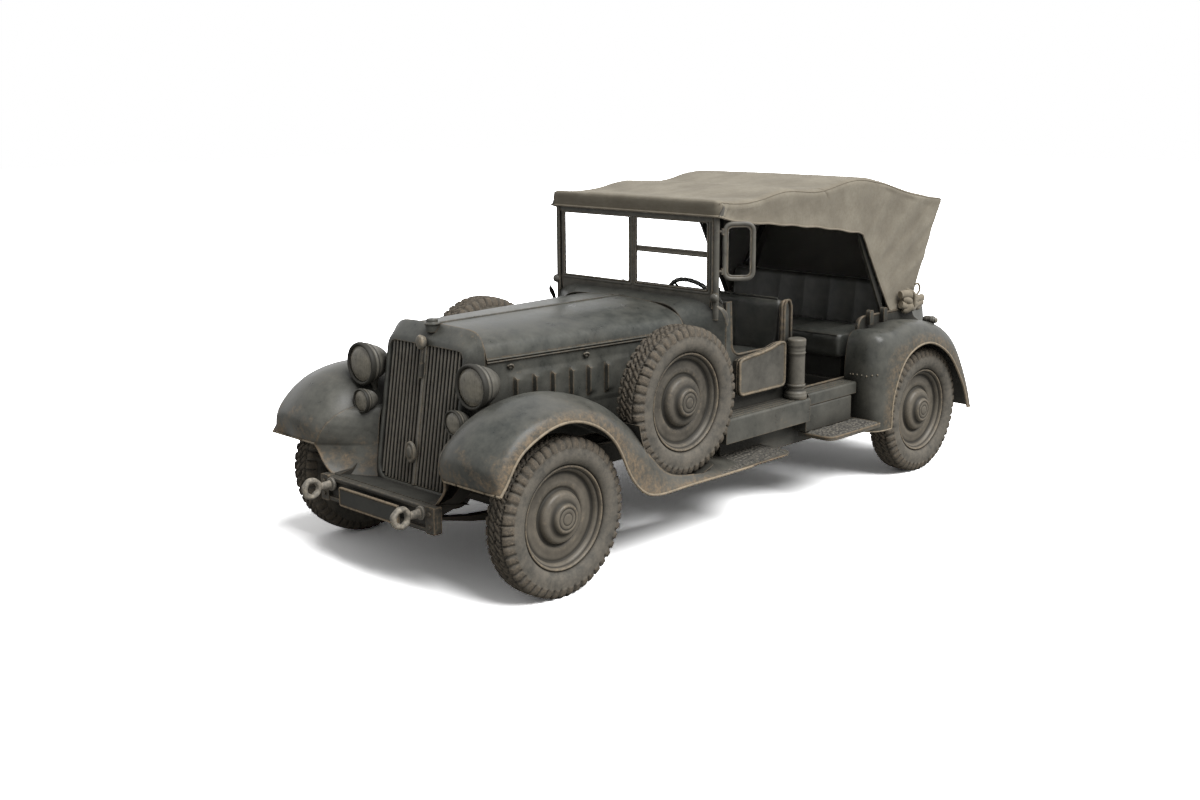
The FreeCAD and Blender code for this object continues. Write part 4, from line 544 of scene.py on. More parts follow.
def ridge_wear_and_groove_shade(profile, strength):
    """Marks for a turned profile from how much it turns at each place: ridges are rubbed bare (above 0),
    which also serves as their painted highlight, and grooves get painted shade (below 0)."""
    step = np.diff(np.asarray(profile, float), axis=0)
    step /= np.maximum(np.linalg.norm(step, axis=1, keepdims=True), 1e-9)
    turn = np.zeros(len(step) + 1)
    turn[1:-1] = step[:-1, 1] * step[1:, 0] - step[:-1, 0] * step[1:, 1]
    turn = np.convolve(turn, [0.5, 1, 1, 1, 0.5], "same")
    # Negative marks paint shade into the grooves; positive marks rub the ridges bare and light.
    return np.clip(strength * turn, -0.9, 0.3)


def tube_part(path, radius, sides=10, up=(0, 0, 1), closed=False, squash=1.0, mark=0.0):
    """A round bar on a path: in the plane square to the path's slope, radius times (cos a, sin a)."""
    path = np.asarray(path, float)
    if closed:
        slope = np.roll(path, -1, axis=0) - np.roll(path, 1, axis=0)
    else:
        slope = np.gradient(path, axis=0)
    slope /= np.maximum(np.linalg.norm(slope, axis=1, keepdims=True), 1e-9)
    side = np.cross(np.asarray(up, float), slope)
    side /= np.maximum(np.linalg.norm(side, axis=1, keepdims=True), 1e-9)
    top = np.cross(slope, side)
    radius = np.broadcast_to(np.asarray(radius, float), (len(path),))[:, None, None]
    angle = (np.arange(sides) * 2 * np.pi / sides)[None, :, None]
    ring = path[:, None] + radius * (np.cos(angle) * side[:, None] + np.sin(angle) * squash * top[:, None])
    if not closed:
        ends = [np.repeat(path[i][None, None], sides, axis=1) for i in (0, -1)]
        ring = np.concatenate([ends[0], ring, ends[1]], axis=0)
    return grid_part(ring, wrap_rows=closed, wrap_columns=True, mark=mark)


def prism_faces(count):
    """Faces of a solid between two loops of count points, the second numbered after the first."""
    j = np.arange(count)
    after = (j + 1) % count
    faces = np.stack([j, after, after + count, j + count], axis=-1).tolist()
    return faces + [list(range(count)), list(range(count, 2 * count))]


def plate_part(outline, axis, low, high, mark=0.0):
    """A flat outline given across an axis, made solid from low to high along it."""
    outline = np.asarray(outline, float)
    count = len(outline)
    depth = np.repeat([low, high], count)
    a, b = np.tile(outline[:, 0], 2), np.tile(outline[:, 1], 2)
    order = {"x": (depth, a, b), "y": (a, depth, b), "z": (a, b, depth)}[axis]
    return np.stack(order, axis=-1), prism_faces(count), np.full(2 * count, float(mark))


def box_part(x0, x1, y0, y1, z0, z1, mark=0.0):
    """A box between two values on each axis."""
    return plate_part([(x0, y0), (x1, y0), (x1, y1), (x0, y1)], "z", z0, z1, mark)


def upright(points, y):
    """Points (x, z) stood up at y across the car."""
    points = np.asarray(points, float)
    return np.stack([points[:, 0], np.broadcast_to(y, len(points)), points[:, 1]], axis=-1)


def part_on(part, sign):
    """The same part on the left (1) or the right (-1) of the car."""
    points, faces, marks = part
    return other_side(points, sign), faces, marks


def once(node, side):
    """One CAD node holds both sides, so only the left piece stands for it."""
    return (node,) if side > 0 else ()


# %% One object from its parts
def solid(name, parts, material, side=1.0, sharp=35):
    """Joins parts into one object: doubled points merged, faces turned outwards.
    Edges that turn by more than sharp degrees stay sharp."""
    points, faces, marks, start = [], [], [], 0
    for part_points, part_faces, part_marks in parts:
        points.append(part_points)
        faces += [[i + start for i in face] for face in part_faces]
        marks.append(part_marks)
        start += len(part_points)
    points = metres(other_side(np.concatenate(points), side))
    mesh = bpy.data.meshes.new(name)
    mesh.from_pydata(points.tolist(), [], faces)
    mark = mesh.attributes.new("mark", "FLOAT", "POINT")
    mark.data.foreach_set("value", np.concatenate(marks).astype(np.float32))
    shape = bmesh.new()
    shape.from_mesh(mesh)
    bmesh.ops.remove_doubles(shape, verts=shape.verts, dist=2e-5)
    bmesh.ops.dissolve_degenerate(shape, edges=shape.edges, dist=1e-6)
    bmesh.ops.recalc_face_normals(shape, faces=shape.faces)
    shape.to_mesh(mesh)
    shape.free()
    mesh.shade_smooth()
    mesh.set_sharp_from_angle(angle=math.radians(sharp))
    mesh.materials.append(material)
    made = bpy.data.objects.new(name, mesh)
    bpy.context.scene.collection.objects.link(made)
    return made


def piece(name, parts, material, body="chassis", stands_for=(), sharp=35, bevel=0.0, side=1.0):
    """A solid that rides on a body of the car and stands for CAD nodes.
    Bevel rounds its edges, in millimetres."""
    made = solid(name, parts, material, side, sharp)
    if bevel:
        soft = made.modifiers.new("soft_edges", "BEVEL")
        soft.width, soft.segments = bevel / 1000, 3
        soft.limit_method, soft.angle_limit = "ANGLE", math.radians(30)
        soft.harden_normals = True
    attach(made, body)
    if stands_for:
        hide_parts(*stands_for)
    return made


def dress(names, material):
    """Give CAD nodes whose shape is right a better finish."""
    for name in names:
        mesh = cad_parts[name].data
        mesh.materials.clear()
        mesh.materials.append(material)


# %% [markdown]
# ## Tyres
# The tread is cut into the grid itself. Round the tyre there are 48 lugs; each point's radius falls by
# the groove's depth where it lies between two lugs. On the shoulders the grooves run over the edge and
# stop at a fine ridge, below which the side wall is smooth.

# %% Tyres
LUGS = 48
LUG_SAMPLES = 6


def tyre_part(centre, seed):
    """Radius = side profile - depth x groove(angle, place across); the groove is 1 between two lugs."""
    half = np.array([(58, 257), (66, 261), (76, 270), (84, 290), (86, 308), (84.5, 326), (82, 336), (84, 341),
                     (82, 352), (79, 362), (74, 373), (68, 381), (60, 386), (46, 388.5), (24, 389.6),
                     (0, 390)], float)
    outer = np.concatenate([half, (half * (-1, 1))[-2::-1]])
    profile = np.concatenate([between(outer[:7], 7), between(outer[6:25], 40)[1:],
                              between(outer[24:], 7)[1:]])
    angle = np.arange(LUGS * LUG_SAMPLES) * 2 * np.pi / (LUGS * LUG_SAMPLES)
    a, y = np.meshgrid(angle, profile[:, 0], indexing="ij")
    r = np.broadcast_to(profile[:, 1], a.shape)
    turn = a * LUGS / (2 * np.pi)
    wobble = 0.10 * np.sin(3 * a + seed) + 0.08 * ripple(a * TYRE_RADIUS, y, 90.0, seed)
    shoulder = ease(np.abs(y), 40, 47) * ease(r, 338, 344)
    phase = np.where(y > 0, turn, turn + 0.5) + wobble
    gap = np.abs((phase % 1.0) - 0.5) * 2
    cut_across = 1 - ease(1 - gap, 0.16, 0.34)
    zigzag = 9.0 * (np.abs((turn * 2 % 2.0) - 1.0) * 2 - 1)
    ring = np.minimum(np.abs(np.abs(y + zigzag * 0.5) - 41.0), np.abs(y + zigzag))
    cut_round = 1 - ease(ring, 2.6, 5.5)
    slant = np.abs(((turn * 1.5 + y / 34.0 + wobble) % 1.0) - 0.5) * 2
    cut_slant = (1 - ease(1 - slant, 0.12, 0.30)) * ease(-np.abs(y), -40, -34)
    groove = np.maximum(np.maximum(cut_across * shoulder, cut_round * ease(r, 380, 386)),
                        cut_slant * ease(r, 384, 388))
    chips = 0.5 + 0.5 * ripple(a * TYRE_RADIUS, y, 26.0, seed + 5, 3)
    depth = (9.0 + 3.0 * chips) * groove + 1.6 * chips * ease(r, 338, 346)
    slope = np.arctan2(np.abs(y) - 40.0, np.maximum(r - 322.0, 1e-6))
    tilt = np.where(np.abs(y) > 60, np.clip(slope, 0.0, 1.1), 0.0)
    r2, y2 = r - depth * np.cos(tilt), y - np.sign(y) * depth * np.sin(tilt) * 0.8
    grid = np.stack([r2 * np.cos(a), y2, r2 * np.sin(a)], axis=-1) + np.asarray(centre, float)
    mark = np.clip(ease(r, 334, 345) * (0.95 - 0.95 * groove) + 0.06, 0, 1)
    return grid_part(grid, True, True, mark)


WHEELS = [("front", 0.0), ("rear", -WHEEL_BASE)]
for end, x in WHEELS:
    for name, side in SIDES:
        piece("lugged_tyre_%s_%s" % (end, name), [tyre_part((x, 770, TYRE_RADIUS), 3 + int(-x) % 7)], rubber,
              "wheel_%s_%s" % (end, name), ("tyre_%s_%s" % (end, name),), 50, side=side)
SPARE = (-880.0, 757.0, 800.0)
for name, side in SIDES:
    piece("lugged_spare_tyre_" + name, [tyre_part(SPARE, 11)], rubber, "chassis",
          once("spare_tyres", side), 50, side=side)

# %% [markdown]
# ## Wheel discs
# A disc wheel is turned on a lathe, so its section is drawn once as (depth, radius) and turned: a
# rolled rim ring, a dish with a raised ring, the stepped hub and a plain domed cap.


# %% Wheel discs
def disc_part(centre):
    """The disc's face and back as one profile: depth outward from the wheel's middle, radius."""
    face = [(-22, 0), (-22, 150), (-20, 205), (-40, 236), (-52, 246), (-60, 250), (-60, 258), (50, 258),
            (60, 255), (64, 250), (62, 244), (54, 240), (46, 238), (44, 233), (40, 226), (24, 219), (20, 212),
            (22, 204), (22, 185), (24, 172), (25, 165), (24, 158), (23, 150), (19, 145), (17, 138), (22, 131),
            (38, 126), (46, 121), (52, 113), (54, 102), (56, 90), (60, 80), (66, 74), (76, 71), (82, 66),
            (83, 58), (80, 54), (80, 50), (83, 46), (84, 36), (82, 31), (82, 28), (85, 24), (86, 12), (86, 0)]
    face = np.array(face, float)
    smooth_face = np.repeat(face, 2, axis=0)[:-1]
    smooth_face[1::2] = (face[:-1] + face[1:]) / 2
    smooth_face = eased(smooth_face)
    smooth_face[:, 1] = np.maximum(smooth_face[:, 1], 0)
    return turned_part(smooth_face, centre, "y", 80, ridge_wear_and_groove_shade(smooth_face, 1.3))


for end, x in WHEELS:
    for name, side in SIDES:
        piece("dished_wheel_%s_%s" % (end, name), [disc_part((x, 770, TYRE_RADIUS))], disc_paint,
              "wheel_%s_%s" % (end, name), ("wheel_disc_%s_%s" % (end, name),), 60, side=side)
for name, side in SIDES:
    piece("dished_spare_wheel_" + name, [disc_part(SPARE)], disc_paint, "chassis",
          once("spare_discs", side), 60, side=side)

# %% [markdown]
# ## The nose
# The radiator shell is a stack of rounded outlines that lean back with the grille: the inner lip, the
# front rim, and then a swelling crown that grows to the bonnet's width.


# %% Radiator shell
def nose_outline(half, top, foot, shoulder, lower, crown=0.0, count=120):
    """A rounded upright outline as (y, z); crown lifts the middle of its top by crown (1 - (y / half)^2)."""
    corners = [(-half, top), (-half * 0.35, top), (half * 0.35, top), (half, top), (half, foot),
               (-half, foot)]
    loop = rounded(corners, [shoulder, 10, 10, shoulder, lower, lower], 10)
    loop = between(np.concatenate([loop, loop[:1]]), count + 1)[:-1]
    lift = crown * (1 - np.clip(np.abs(loop[:, 0]) / half, 0, 1) ** 2) * ease(loop[:, 1],
                                                                              foot + 0.8 * (top - foot), top)
    loop[:, 1] += lift
    return loop


def leaning(loop, x, lean, top=1158.0):
    """The outline at x, moved forward by lean for each unit below the top."""
    return np.stack([x + lean * (top - loop[:, 1]), loop[:, 0], loop[:, 1]], axis=-1)


NOSE_LEAN = 0.16
rings = [leaning(nose_outline(279, 1126, 440, 40, 66), 92, NOSE_LEAN),
         leaning(nose_outline(280, 1127, 439, 42, 68), 122, NOSE_LEAN),
         leaning(nose_outline(285, 1131, 434, 46, 70), 128, NOSE_LEAN),
         leaning(nose_outline(300, 1146, 420, 56, 80, 2), 128, NOSE_LEAN),
         leaning(nose_outline(308, 1158, 412, 66, 86, 4), 122, NOSE_LEAN),
         leaning(nose_outline(314, 1174, 410, 76, 90, 8), 108, NOSE_LEAN * 0.98)]
back = [(94, 322, 1190, 411, 86, 90, 10, 0.95), (78, 334, 1204, 450, 100, 80, 12, 0.6),
        (62, 346, 1216, 540, 112, 70, 12, 0.25), (52, 351, 1220, 606, 120, 60, 10, 0.0)]
rings += [leaning(nose_outline(h, t, fo, sh, lo, cr), x, NOSE_LEAN * k)
          for x, h, t, fo, sh, lo, cr, k in back]
rings.append(leaning(nose_outline(340, 1208, 616, 110, 55, 10), 52, 0.0))
rings.append(leaning(nose_outline(292, 1140, 470, 46, 66), 60, NOSE_LEAN * 0.5))
shell_grid = np.stack(rings)
filler = [(-30, 0), (-30, 27), (-2, 28), (4, 32), (9, 32), (12, 27), (16, 24), (24, 24), (28, 21), (30, 12),
          (31, 0)]
cap = turned_part(between(filler, 60) * (1.1, 1.2), (88, 0, 1226), "z", 40)
piece("radiator_cowling", [grid_part(shell_grid, wrap_rows=True, wrap_columns=True), cap], paint,
      stands_for=("radiator_shell",), sharp=50)

# %% [markdown]
# Some twenty upright bars stand before a dark core. Each bar is a slim rounded strip on the same
# leaning line, and a wider one covers the middle.

# %% Grille
GRILLE_BARS = 20
in_half = 310 - 26 - 1
pitch = 2 * in_half / (GRILLE_BARS + 1)
bar_parts = []
for i in range(GRILLE_BARS):
    y = (i - (GRILLE_BARS - 1) / 2) * pitch
    out = max(0.0, abs(y) + 7 - (in_half - 70))
    low = 438 + 70 - math.sqrt(70 ** 2 - min(out, 69) ** 2) + 3
    high = 1129 - (40 - math.sqrt(40 ** 2 - min(max(0.0, abs(y) + 7 - (in_half - 40)), 39) ** 2))
    line = np.array([(1158 - z) * NOSE_LEAN for z in (low, high)]) + 117
    path = between([(line[0], y, low), (line[1], y, high)], 14)
    path[:, 0] += 2.0 * ripple(path[:, 2], path[:, 2] * 0 + y, 260.0, i)
    bar_parts.append(tube_part(path, 7.6, 10, (0, 1, 0), squash=1.0))
centre_bar = between([(119 + (1158 - 440) * NOSE_LEAN, 0, 440),
                      (121 + (1158 - 1128) * NOSE_LEAN, 0, 1128)], 8)
bar_parts.append(tube_part(centre_bar, 14.0, 12, (0, 1, 0), squash=0.7))
core = nose_outline(in_half - 1, 1126, 441, 40, 70)
slab = np.stack([leaning(core, 70, NOSE_LEAN), leaning(core, 104, NOSE_LEAN)])
cap_points, cap_faces, cap_marks = grid_part(slab, wrap_columns=True)
cap_faces += [list(range(len(core))), list(range(len(core), 2 * len(core)))]
piece("grille_bars", bar_parts, bright_paint, stands_for=("radiator_grille",), sharp=60)
piece("radiator_core", [(cap_points, cap_faces, cap_marks)], dark_paint, sharp=50)

# %% [markdown]
# ## Bonnet
# Each leaf is a surface with its section smoothed through eight points and stretched between the
# shell's width and the body's. A bead follows its lower edge, another follows the top of the side
# panel, and the panel carries the louvers.


# %% Bonnet
def half_at(x):
    """The bonnet's half width at x: a straight line from 352 at the shell to 492 at the scuttle."""
    return 352 + (492 - 352) * (52 - np.asarray(x, float)) / (52 + 1240)


def leaf_section(x):
    """Eight points from the middle hinge over and down to the leaf's lower edge."""
    half = half_at(x)
    return np.array([(x, 9.5, 1230), (x, half * 0.30, 1225.5), (x, half * 0.52, 1218), (x, half * 0.70, 1203),
                     (x, half * 0.84, 1182), (x, half * 0.93, 1158), (x, half * 0.975, 1128),
                     (x, half - 0.5, 1083)])


leaf_rows = np.stack([spline(leaf_section(x), 40) for x in np.linspace(46, -1235, 48)])
bead_line = leaf_rows[:, -1] + (0, 1.0, 3.0)
for name, side in SIDES:
    leaf = [sheet_part(leaf_rows, 7.0, inward=-1.0), tube_part(bead_line, 5.5, 10, (0, 0, 1))]
    piece("bonnet_leaf_" + name, leaf, paint, "bonnet_" + name, ("bonnet_" + name,), 50, side=side)
hinge_path = between([(50, 0, 1229), (-1239, 0, 1229)], 140)
hinge_radius = 6.5 + 1.4 * (np.arange(140) % 6 > 0)
side_parts = [tube_part(hinge_path, hinge_radius, 12)]
LOUVERS, LOUVER_PITCH, LOUVER_FIRST = 6, 114.0, -112.0
xs, zs = np.linspace(47, -1240, 210), np.linspace(620, 1078, 40)
gx, gz = np.meshgrid(xs, zs, indexing="ij")
lift = np.zeros_like(gx)
for i in range(LOUVERS):
    edge = LOUVER_FIRST - i * LOUVER_PITCH
    run = (gx - (edge - 84)) / 84.0
    lift += 22.0 * np.where((run > 0) & (run < 1), np.clip(run, 0, 1) ** 1.6,
                            0) * ease(gz, 832, 850) * ease(-gz, -988, -972)
frame_line = ease(gx, -850, -838) * ease(-gx, 78, 86) * ease(gz, 800, 806) * ease(-gz, -1006, -1000)
panel = np.stack([gx, half_at(gx) - 4 + lift + 6.0 * frame_line, gz], axis=-1)
panel_sheet = sheet_part(panel, 4.0)
rail = np.stack([np.linspace(44, -1238, 40), half_at(np.linspace(44, -1238, 40)) + 1.0, np.full(40, 1073.0)],
                axis=-1)
half_side = [panel_sheet, tube_part(rail, 5.0, 10)]
for part in half_side:
    for sign in BOTH:
        side_parts.append(part_on(part, sign))
piece("bonnet_sides_pressed", side_parts, paint, stands_for=("bonnet_sides",), sharp=40)

# %% [markdown]
# ## Front fenders
# A fender is one long pressed sheet: an arch over the tyre that runs down into the step. Its sections
# are drawn square to the wheel, smoothed across, then smoothed along, and the outer edge is rolled. The
# rows are then picked anew, so that the inner front corner runs up to the cheek, the sheet between fender
# and radiator. A valance closes the nose below, and the spare wheel's well is cut out of the tail.

# %% Front fenders
ARCH = ((25, 97, 122, 113), (33, 92, 195, 103), (46, 78, 217, 112), (61, 36, 212, 104), (76, 6, 194, 97),
        (92, -10, 186, 84), (110, 14, 187, 62), (128, 68, 203, 40), (145, 165, 233, 16), (158, 268, 310, 14))
TAIL = (((-830, 512), (-849, 530), (-510, 412)), ((-1040, 440), (-1047, 456), (-760, 392)),
        ((-1200, 409), (-1210, 416), (-1090, 391)), ((-1330, 401), (-1330, 401), (-1330, 391)))
FENDER_LIP = 900.0
FENDER_ROWS, FENDER_COLUMNS = 190, 44
CHEEK_ROWS, CHEEK_RIM = 60, 24


def beside_nose(x):
    """The nose's side: the bonnet's width behind the shell, and a line out to 416 at its front."""
    x = np.asarray(x, float)
    return np.where(x <= 52, half_at(np.minimum(x, 52)) + 1.0, 368.5 + 32 * (x - 52) / 408)


def arch_point(angle, radius, y, axle):
    """The point at an angle above the horizontal, a radius from the axle."""
    return axle + radius * math.cos(angle), y, TYRE_RADIUS + radius * math.sin(angle)


sections = []
for degrees, inner, crown, lip in ARCH:
    angle = math.radians(degrees)
    low, high, edge = (TYRE_RADIUS + gap for gap in (inner, crown, lip))
    y0 = float(beside_nose(low * math.cos(angle)))
    rows = ((low, y0), (low + (high - low) * 0.72, y0 + (660 - y0) * 0.42), (high, 660),
            (high - 20 + (edge - high) * 0.1, 815), (edge + (high - edge) * 0.45, 876), (edge, FENDER_LIP))
    sections.append([arch_point(angle, radius, y, 0.0) for radius, y in rows])
for inner, crown, lip in TAIL:
    y0 = float(beside_nose(inner[0]))
    rows = []
    for y, share, base, end in ((y0, 0, inner, crown), (y0 + (660 - y0) * 0.42, 0.72, inner, crown),
                                (660, 1, inner, crown), (815, 0.22, crown, lip), (876, 0.62, crown, lip),
                                (FENDER_LIP, 1, crown, lip)):
        rows.append((base[0] + (end[0] - base[0]) * share, y, base[1] + (end[1] - base[1]) * share))
    sections.append(rows)
fender = spline(np.stack([spline(rows, FENDER_COLUMNS) for rows in sections]), FENDER_ROWS)
fender[..., 1] = np.maximum(fender[..., 1], beside_nose(fender[..., 0]))
fender[..., 2] += 1.3 * ripple(fender[..., 0], fender[..., 1], 240.0, 4) * ease(-fender[..., 1], -880, -840)
corner = int(np.argmax(fender[0, :, 1] > 515))
run_up = np.argmax(fender[:, 0, 0] < 200)
last = FENDER_ROWS - 1
start = run_up * (1 - ease(np.arange(FENDER_COLUMNS), 0, corner))
picked = start + (last - start) * np.arange(FENDER_ROWS)[:, None] / last
lower_row = np.minimum(picked.astype(int), last - 1)
share, every = (picked - lower_row)[..., None], np.arange(FENDER_COLUMNS)[None, :]
fender = fender[lower_row, every] * (1 - share) + fender[lower_row + 1, every] * share
near_lip = 0.35 * ease(fender[..., 1], 760, 880) + 0.5 * ease(fender[..., 1], 868, 897)
near_front = 1 - ease(450 - fender[..., 0] + 0.5 * (fender[..., 2] - 596), 10, 150)
streaks = np.clip(0.45 + 0.9 * ripple(fender[..., 1] * 1.6, fender[..., 2], 130.0, 12), 0, 1)
fender_mark = np.clip(near_lip + 0.95 * near_front * streaks, 0, 1)


def cut_by(target, parts, side):
    """Take the space of the closed parts out of a finished mesh, and keep the result as plain mesh."""
    tool = solid("cutter", parts, paint, side)
    cutting = target.modifiers.new("cut", "BOOLEAN")
    cutting.object, cutting.operation, cutting.solver = tool, "DIFFERENCE", "EXACT"
    view = bpy.context.evaluated_depsgraph_get()
    result = bpy.data.meshes.new_from_object(target.evaluated_get(view))
    target.modifiers.clear()
    target.data = result
    bpy.data.objects.remove(tool, do_unlink=True)
    return target


WELL_RADIUS = 395
well_angles = np.radians(np.linspace(-116, -7, 60))
well_line = np.stack([SPARE[0] + WELL_RADIUS * np.cos(well_angles),
                      SPARE[2] + WELL_RADIUS * np.sin(well_angles)], axis=-1)
well = np.stack([upright(well_line, y) for y in (668, 700, 760, 820, 856)])
front_edge = fender[0, :corner + 1][::-1]
cheek_edge = np.concatenate([spline([(432, 412, 458), (437, 436, 480), (441, 470, 515), (444, 500, 560),
                                     tuple(front_edge[0])], CHEEK_RIM),
                                     between(front_edge, CHEEK_ROWS - CHEEK_RIM + 1)[1:]])
cheek_root = spline([(238, 290, 428), (228, 302, 470), (220, 309, 520), (212, 314, 580), (204, 317, 640),
                     (198, 319, 690), (190, 321, 730), (176, 323, 762), (150, 326, 778), (110, 330, 784)],
                     CHEEK_ROWS)
cheek_middle = cheek_edge * 0.55 + cheek_root * 0.45
cheek_middle[:, 0] += 18 * np.sin(np.linspace(0, np.pi, CHEEK_ROWS))
apron = np.stack([spline(row, 16) for row in np.stack([cheek_root, cheek_middle, cheek_edge], axis=1)])
apron[:, :, 2] += 1.5 * ripple(apron[..., 1], apron[..., 2], 160.0, 9)
apron_mark = np.clip(0.5 + 0.9 * ripple(apron[..., 1] * 1.6, apron[..., 2], 110.0, 19), 0, 1)
apron_mark *= 0.95 * ease(-apron[..., 2], -740, -520)
for name, side in SIDES:
    made = piece("swept_fender_" + name, [sheet_part(fender, 6.0, fender_mark, inward=-1.0)], paint,
                 stands_for=once("fenders_front", side), side=side, sharp=45)
    cut_by(made, [turned_part([(0, 0), (0, 394), (192, 394), (192, 0)], (SPARE[0], 667, SPARE[2]), "y", 96)],
           side)
    rolls = [tube_part(fender[:, -1] + (0, -1.5, 0), 7.0, 10, (0, 1, 0), mark=1.0),
             tube_part(fender[0, corner:], 6.0, 10, (0, 1, 0), mark=1.0)]
    piece("fender_lip_" + name, rolls, bright_paint, side=side, sharp=60)
    piece("spare_well_" + name, [sheet_part(well, 5.0, inward=1.0), sheet_part(apron, 5.0, apron_mark),
                                 tube_part(apron[:CHEEK_RIM + 1, -1], 6.0, 10, (0, 1, 0), mark=1.0)], paint,
                                 side=side, sharp=45)
valance = between([(236, 0, 424), (300, 0, 436), (380, 0, 452), (434, 0, 460)], 12)
valance = np.stack([valance + (0, y, 0) for y in np.linspace(-425, 425, 24)])
piece("nose_valance", [sheet_part(valance, 4.0, 0.15)], dark_paint, sharp=45)

# %% [markdown]
# The step at the fender's tail is gritty: its top is a grid raised by fine noise, so that the grit
# catches the light from every side and not only in the shading.


# %% Step plates
GRIT = 3.2


def gritty_plate(x0, x1, y0, y1, low, high, corner, seed):
    """A slab whose top rises by up to GRIT millimetres of noise inside a plain rolled border."""
    u, v = np.linspace(0, 1, 64), np.linspace(0, 1, 42)
    gu, gv = np.meshgrid(u, v, indexing="ij")
    x, y = x0 + (x1 - x0) * gu, y0 + (y1 - y0) * gv
    reach = np.clip((corner - (x - x0)) / corner, 0, 1)
    outer_edge = y1 - corner * (1 - np.sqrt(np.clip(1 - reach ** 2, 0, 1)))
    y = y0 + (outer_edge - y0) * gv
    border = ease(gu, 0, 0.05) * ease(1 - gu, 0, 0.05) * ease(1 - gv, 0, 0.10)
    rise = GRIT * border * np.clip(ripple(x, y, 34.0, seed, 4) * 2.2 + 0.4, -0.6, 1.0)
    drop = 4.0 * (1 - ease(gu, 0, 0.03)) + 4.0 * (1 - ease(1 - gv, 0, 0.04))
    top = np.stack([x, y, high - GRIT + rise - drop], axis=-1)
    under = np.stack([x, y, np.full_like(x, low)], axis=-1)
    loop = np.concatenate([top, under[:, ::-1]], axis=1)
    points, faces, marks = grid_part(loop, wrap_columns=True,
                                     mark=np.concatenate([1 - border, 1 - border], axis=1) * 0.7)
    return points, faces + end_faces(len(u), len(v)), marks


for name, side in SIDES:
    piece("front_step_tread_" + name, [gritty_plate(-1700, -1075, 660, 896, 386, 403, 110, 21)], tread,
          side=side, sharp=60)
    rim = rounded([(-1330, 895, 394), (-1640, 895, 394), (-1697, 838, 394), (-1697, 560, 394)],
                  [0, 60, 60, 0], 10, False)
    piece("front_step_rim_" + name, [plate_part(rounded([(-1250, 552), (-1250, 898), (-1700, 898),
                                                         (-1700, 552)],
                                                        [1, 1, 90, 1], 10), "z", 388, 400),
                                     tube_part(rim, 6.0, 10, (0, 0, 1), mark=0.8)], paint, side=side,
                                     sharp=45)

# %% [markdown]
# ## Rear fenders
# The rear fender stands upright in front, swells over the tyre and ends in a pointed tail.

# %% Rear fenders
REAR_ARCH = ((-4, 192, 50), (18, 226, 58), (32, 300, 68), (39, 345, 76), (45, 368, 82), (54, 288, 86),
             (71, 214, 70), (87, 172, 45), (105, 155, 12), (126, 134, -10), (150, 112, -14), (170, 130, 20),
             (186, 183, 62))
RIVET = between([(-3, 0), (-3, 6), (1, 6), (4, 3), (5, 0)], 10)
sections = []
for degrees, crown, lip in REAR_ARCH:
    angle = math.radians(degrees)
    high, edge = TYRE_RADIUS + crown, TYRE_RADIUS + lip
    rows = ((high - 12, 645.5), (high, 720), (high, 790), (high - 10 + (edge - high) * 0.08, 850),
            (edge + (high - edge) * 0.5, 886), (edge, FENDER_LIP))
    sections.append([arch_point(angle, radius, y, -WHEEL_BASE) for radius, y in rows])
rear_fender = spline(np.stack([spline(rows, 40) for rows in sections]), 150)
rear_fender[..., 1] = np.maximum(rear_fender[..., 1], 645.5)
rear_mark = 0.6 * ease(rear_fender[..., 1], 872, 898)
front_wall = rear_fender[:45]
rivets = []
for y in np.linspace(690, 850, 7):
    column = front_wall[:, np.argmin(np.abs(front_wall[20, :, 1] - y))]
    spot = column[np.argmin(np.abs(column[:, 2] - 690))]
    rivets.append(turned_part(RIVET, spot + (1.5, 0, 0), "x", 12))
for name, side in SIDES:
    piece("rear_fender_pressing_" + name, [sheet_part(rear_fender, 6.0, rear_mark, inward=-1.0)], paint,
          stands_for=once("fenders_rear", side), side=side, sharp=45)
    edges = [tube_part(rear_fender[:, -1] + (0, -1.5, 0), 7.0, 10, (0, 1, 0), mark=1.0),
             tube_part(rear_fender[-1], 5.0, 10, (0, 1, 0), mark=1.0),
             tube_part(rear_fender[0], 5.0, 10, (0, 1, 0), mark=0.8)]
    piece("rear_fender_lip_" + name, edges + rivets, bright_paint, side=side, sharp=60)

# %% [markdown]
# ## Scuttle
# Between bonnet and windscreen the scuttle flares from the bonnet's width to the body's. Each section
# has straight sides and a spline over the top; three sections are enough for the flare.


# %% Scuttle
def scuttle_section(x, half, top, falls, foot=572.0):
    """Half a section at x, from its foot up the side and over to the middle, then its mirror image."""
    side_line = between([(x, half, foot), (x, half, top - falls[0] - 20)], 12)
    over = spline([(x, half, top - falls[0] - 20), (x, half * 0.997, top - falls[0]),
                   (x, half * 0.965, top - falls[1]), (x, half * 0.86, top - falls[2]),
                   (x, half * 0.5, top - falls[3]), (x, 0, top)], 40)
    line = np.concatenate([side_line[:-1], over])
    return np.concatenate([line, other_side(line[-2::-1], -1)])


stations = [(-1240.5, 492, 1230, (190, 110, 46, 12)), (-1320, 568, 1243, (140, 75, 29, 7)),
            (-1399, 644, 1256, (90, 40, 12, 2))]
scuttle = spline(np.stack([scuttle_section(*station) for station in stations]), 24)
bulkhead = scuttle_section(-1250, 484, 1222, (190, 110, 46, 12))
dash = scuttle_section(-1385, 625, 1243, (95, 44, 14, 3), 1060)
seam = scuttle[0, 11:-11] + (0.0, 0.0, 1.0)
piece("scuttle_panel", [sheet_part(scuttle, 8.0), plate_part(bulkhead[:, 1:], "x", -1256, -1249),
                        plate_part(dash[:, 1:], "x", -1388, -1382)], paint, stands_for=("cowl",), sharp=45)
piece("scuttle_seam", [tube_part(seam, 3.5, 8, (1, 0, 0), mark=0.3)], dark_paint, sharp=60)

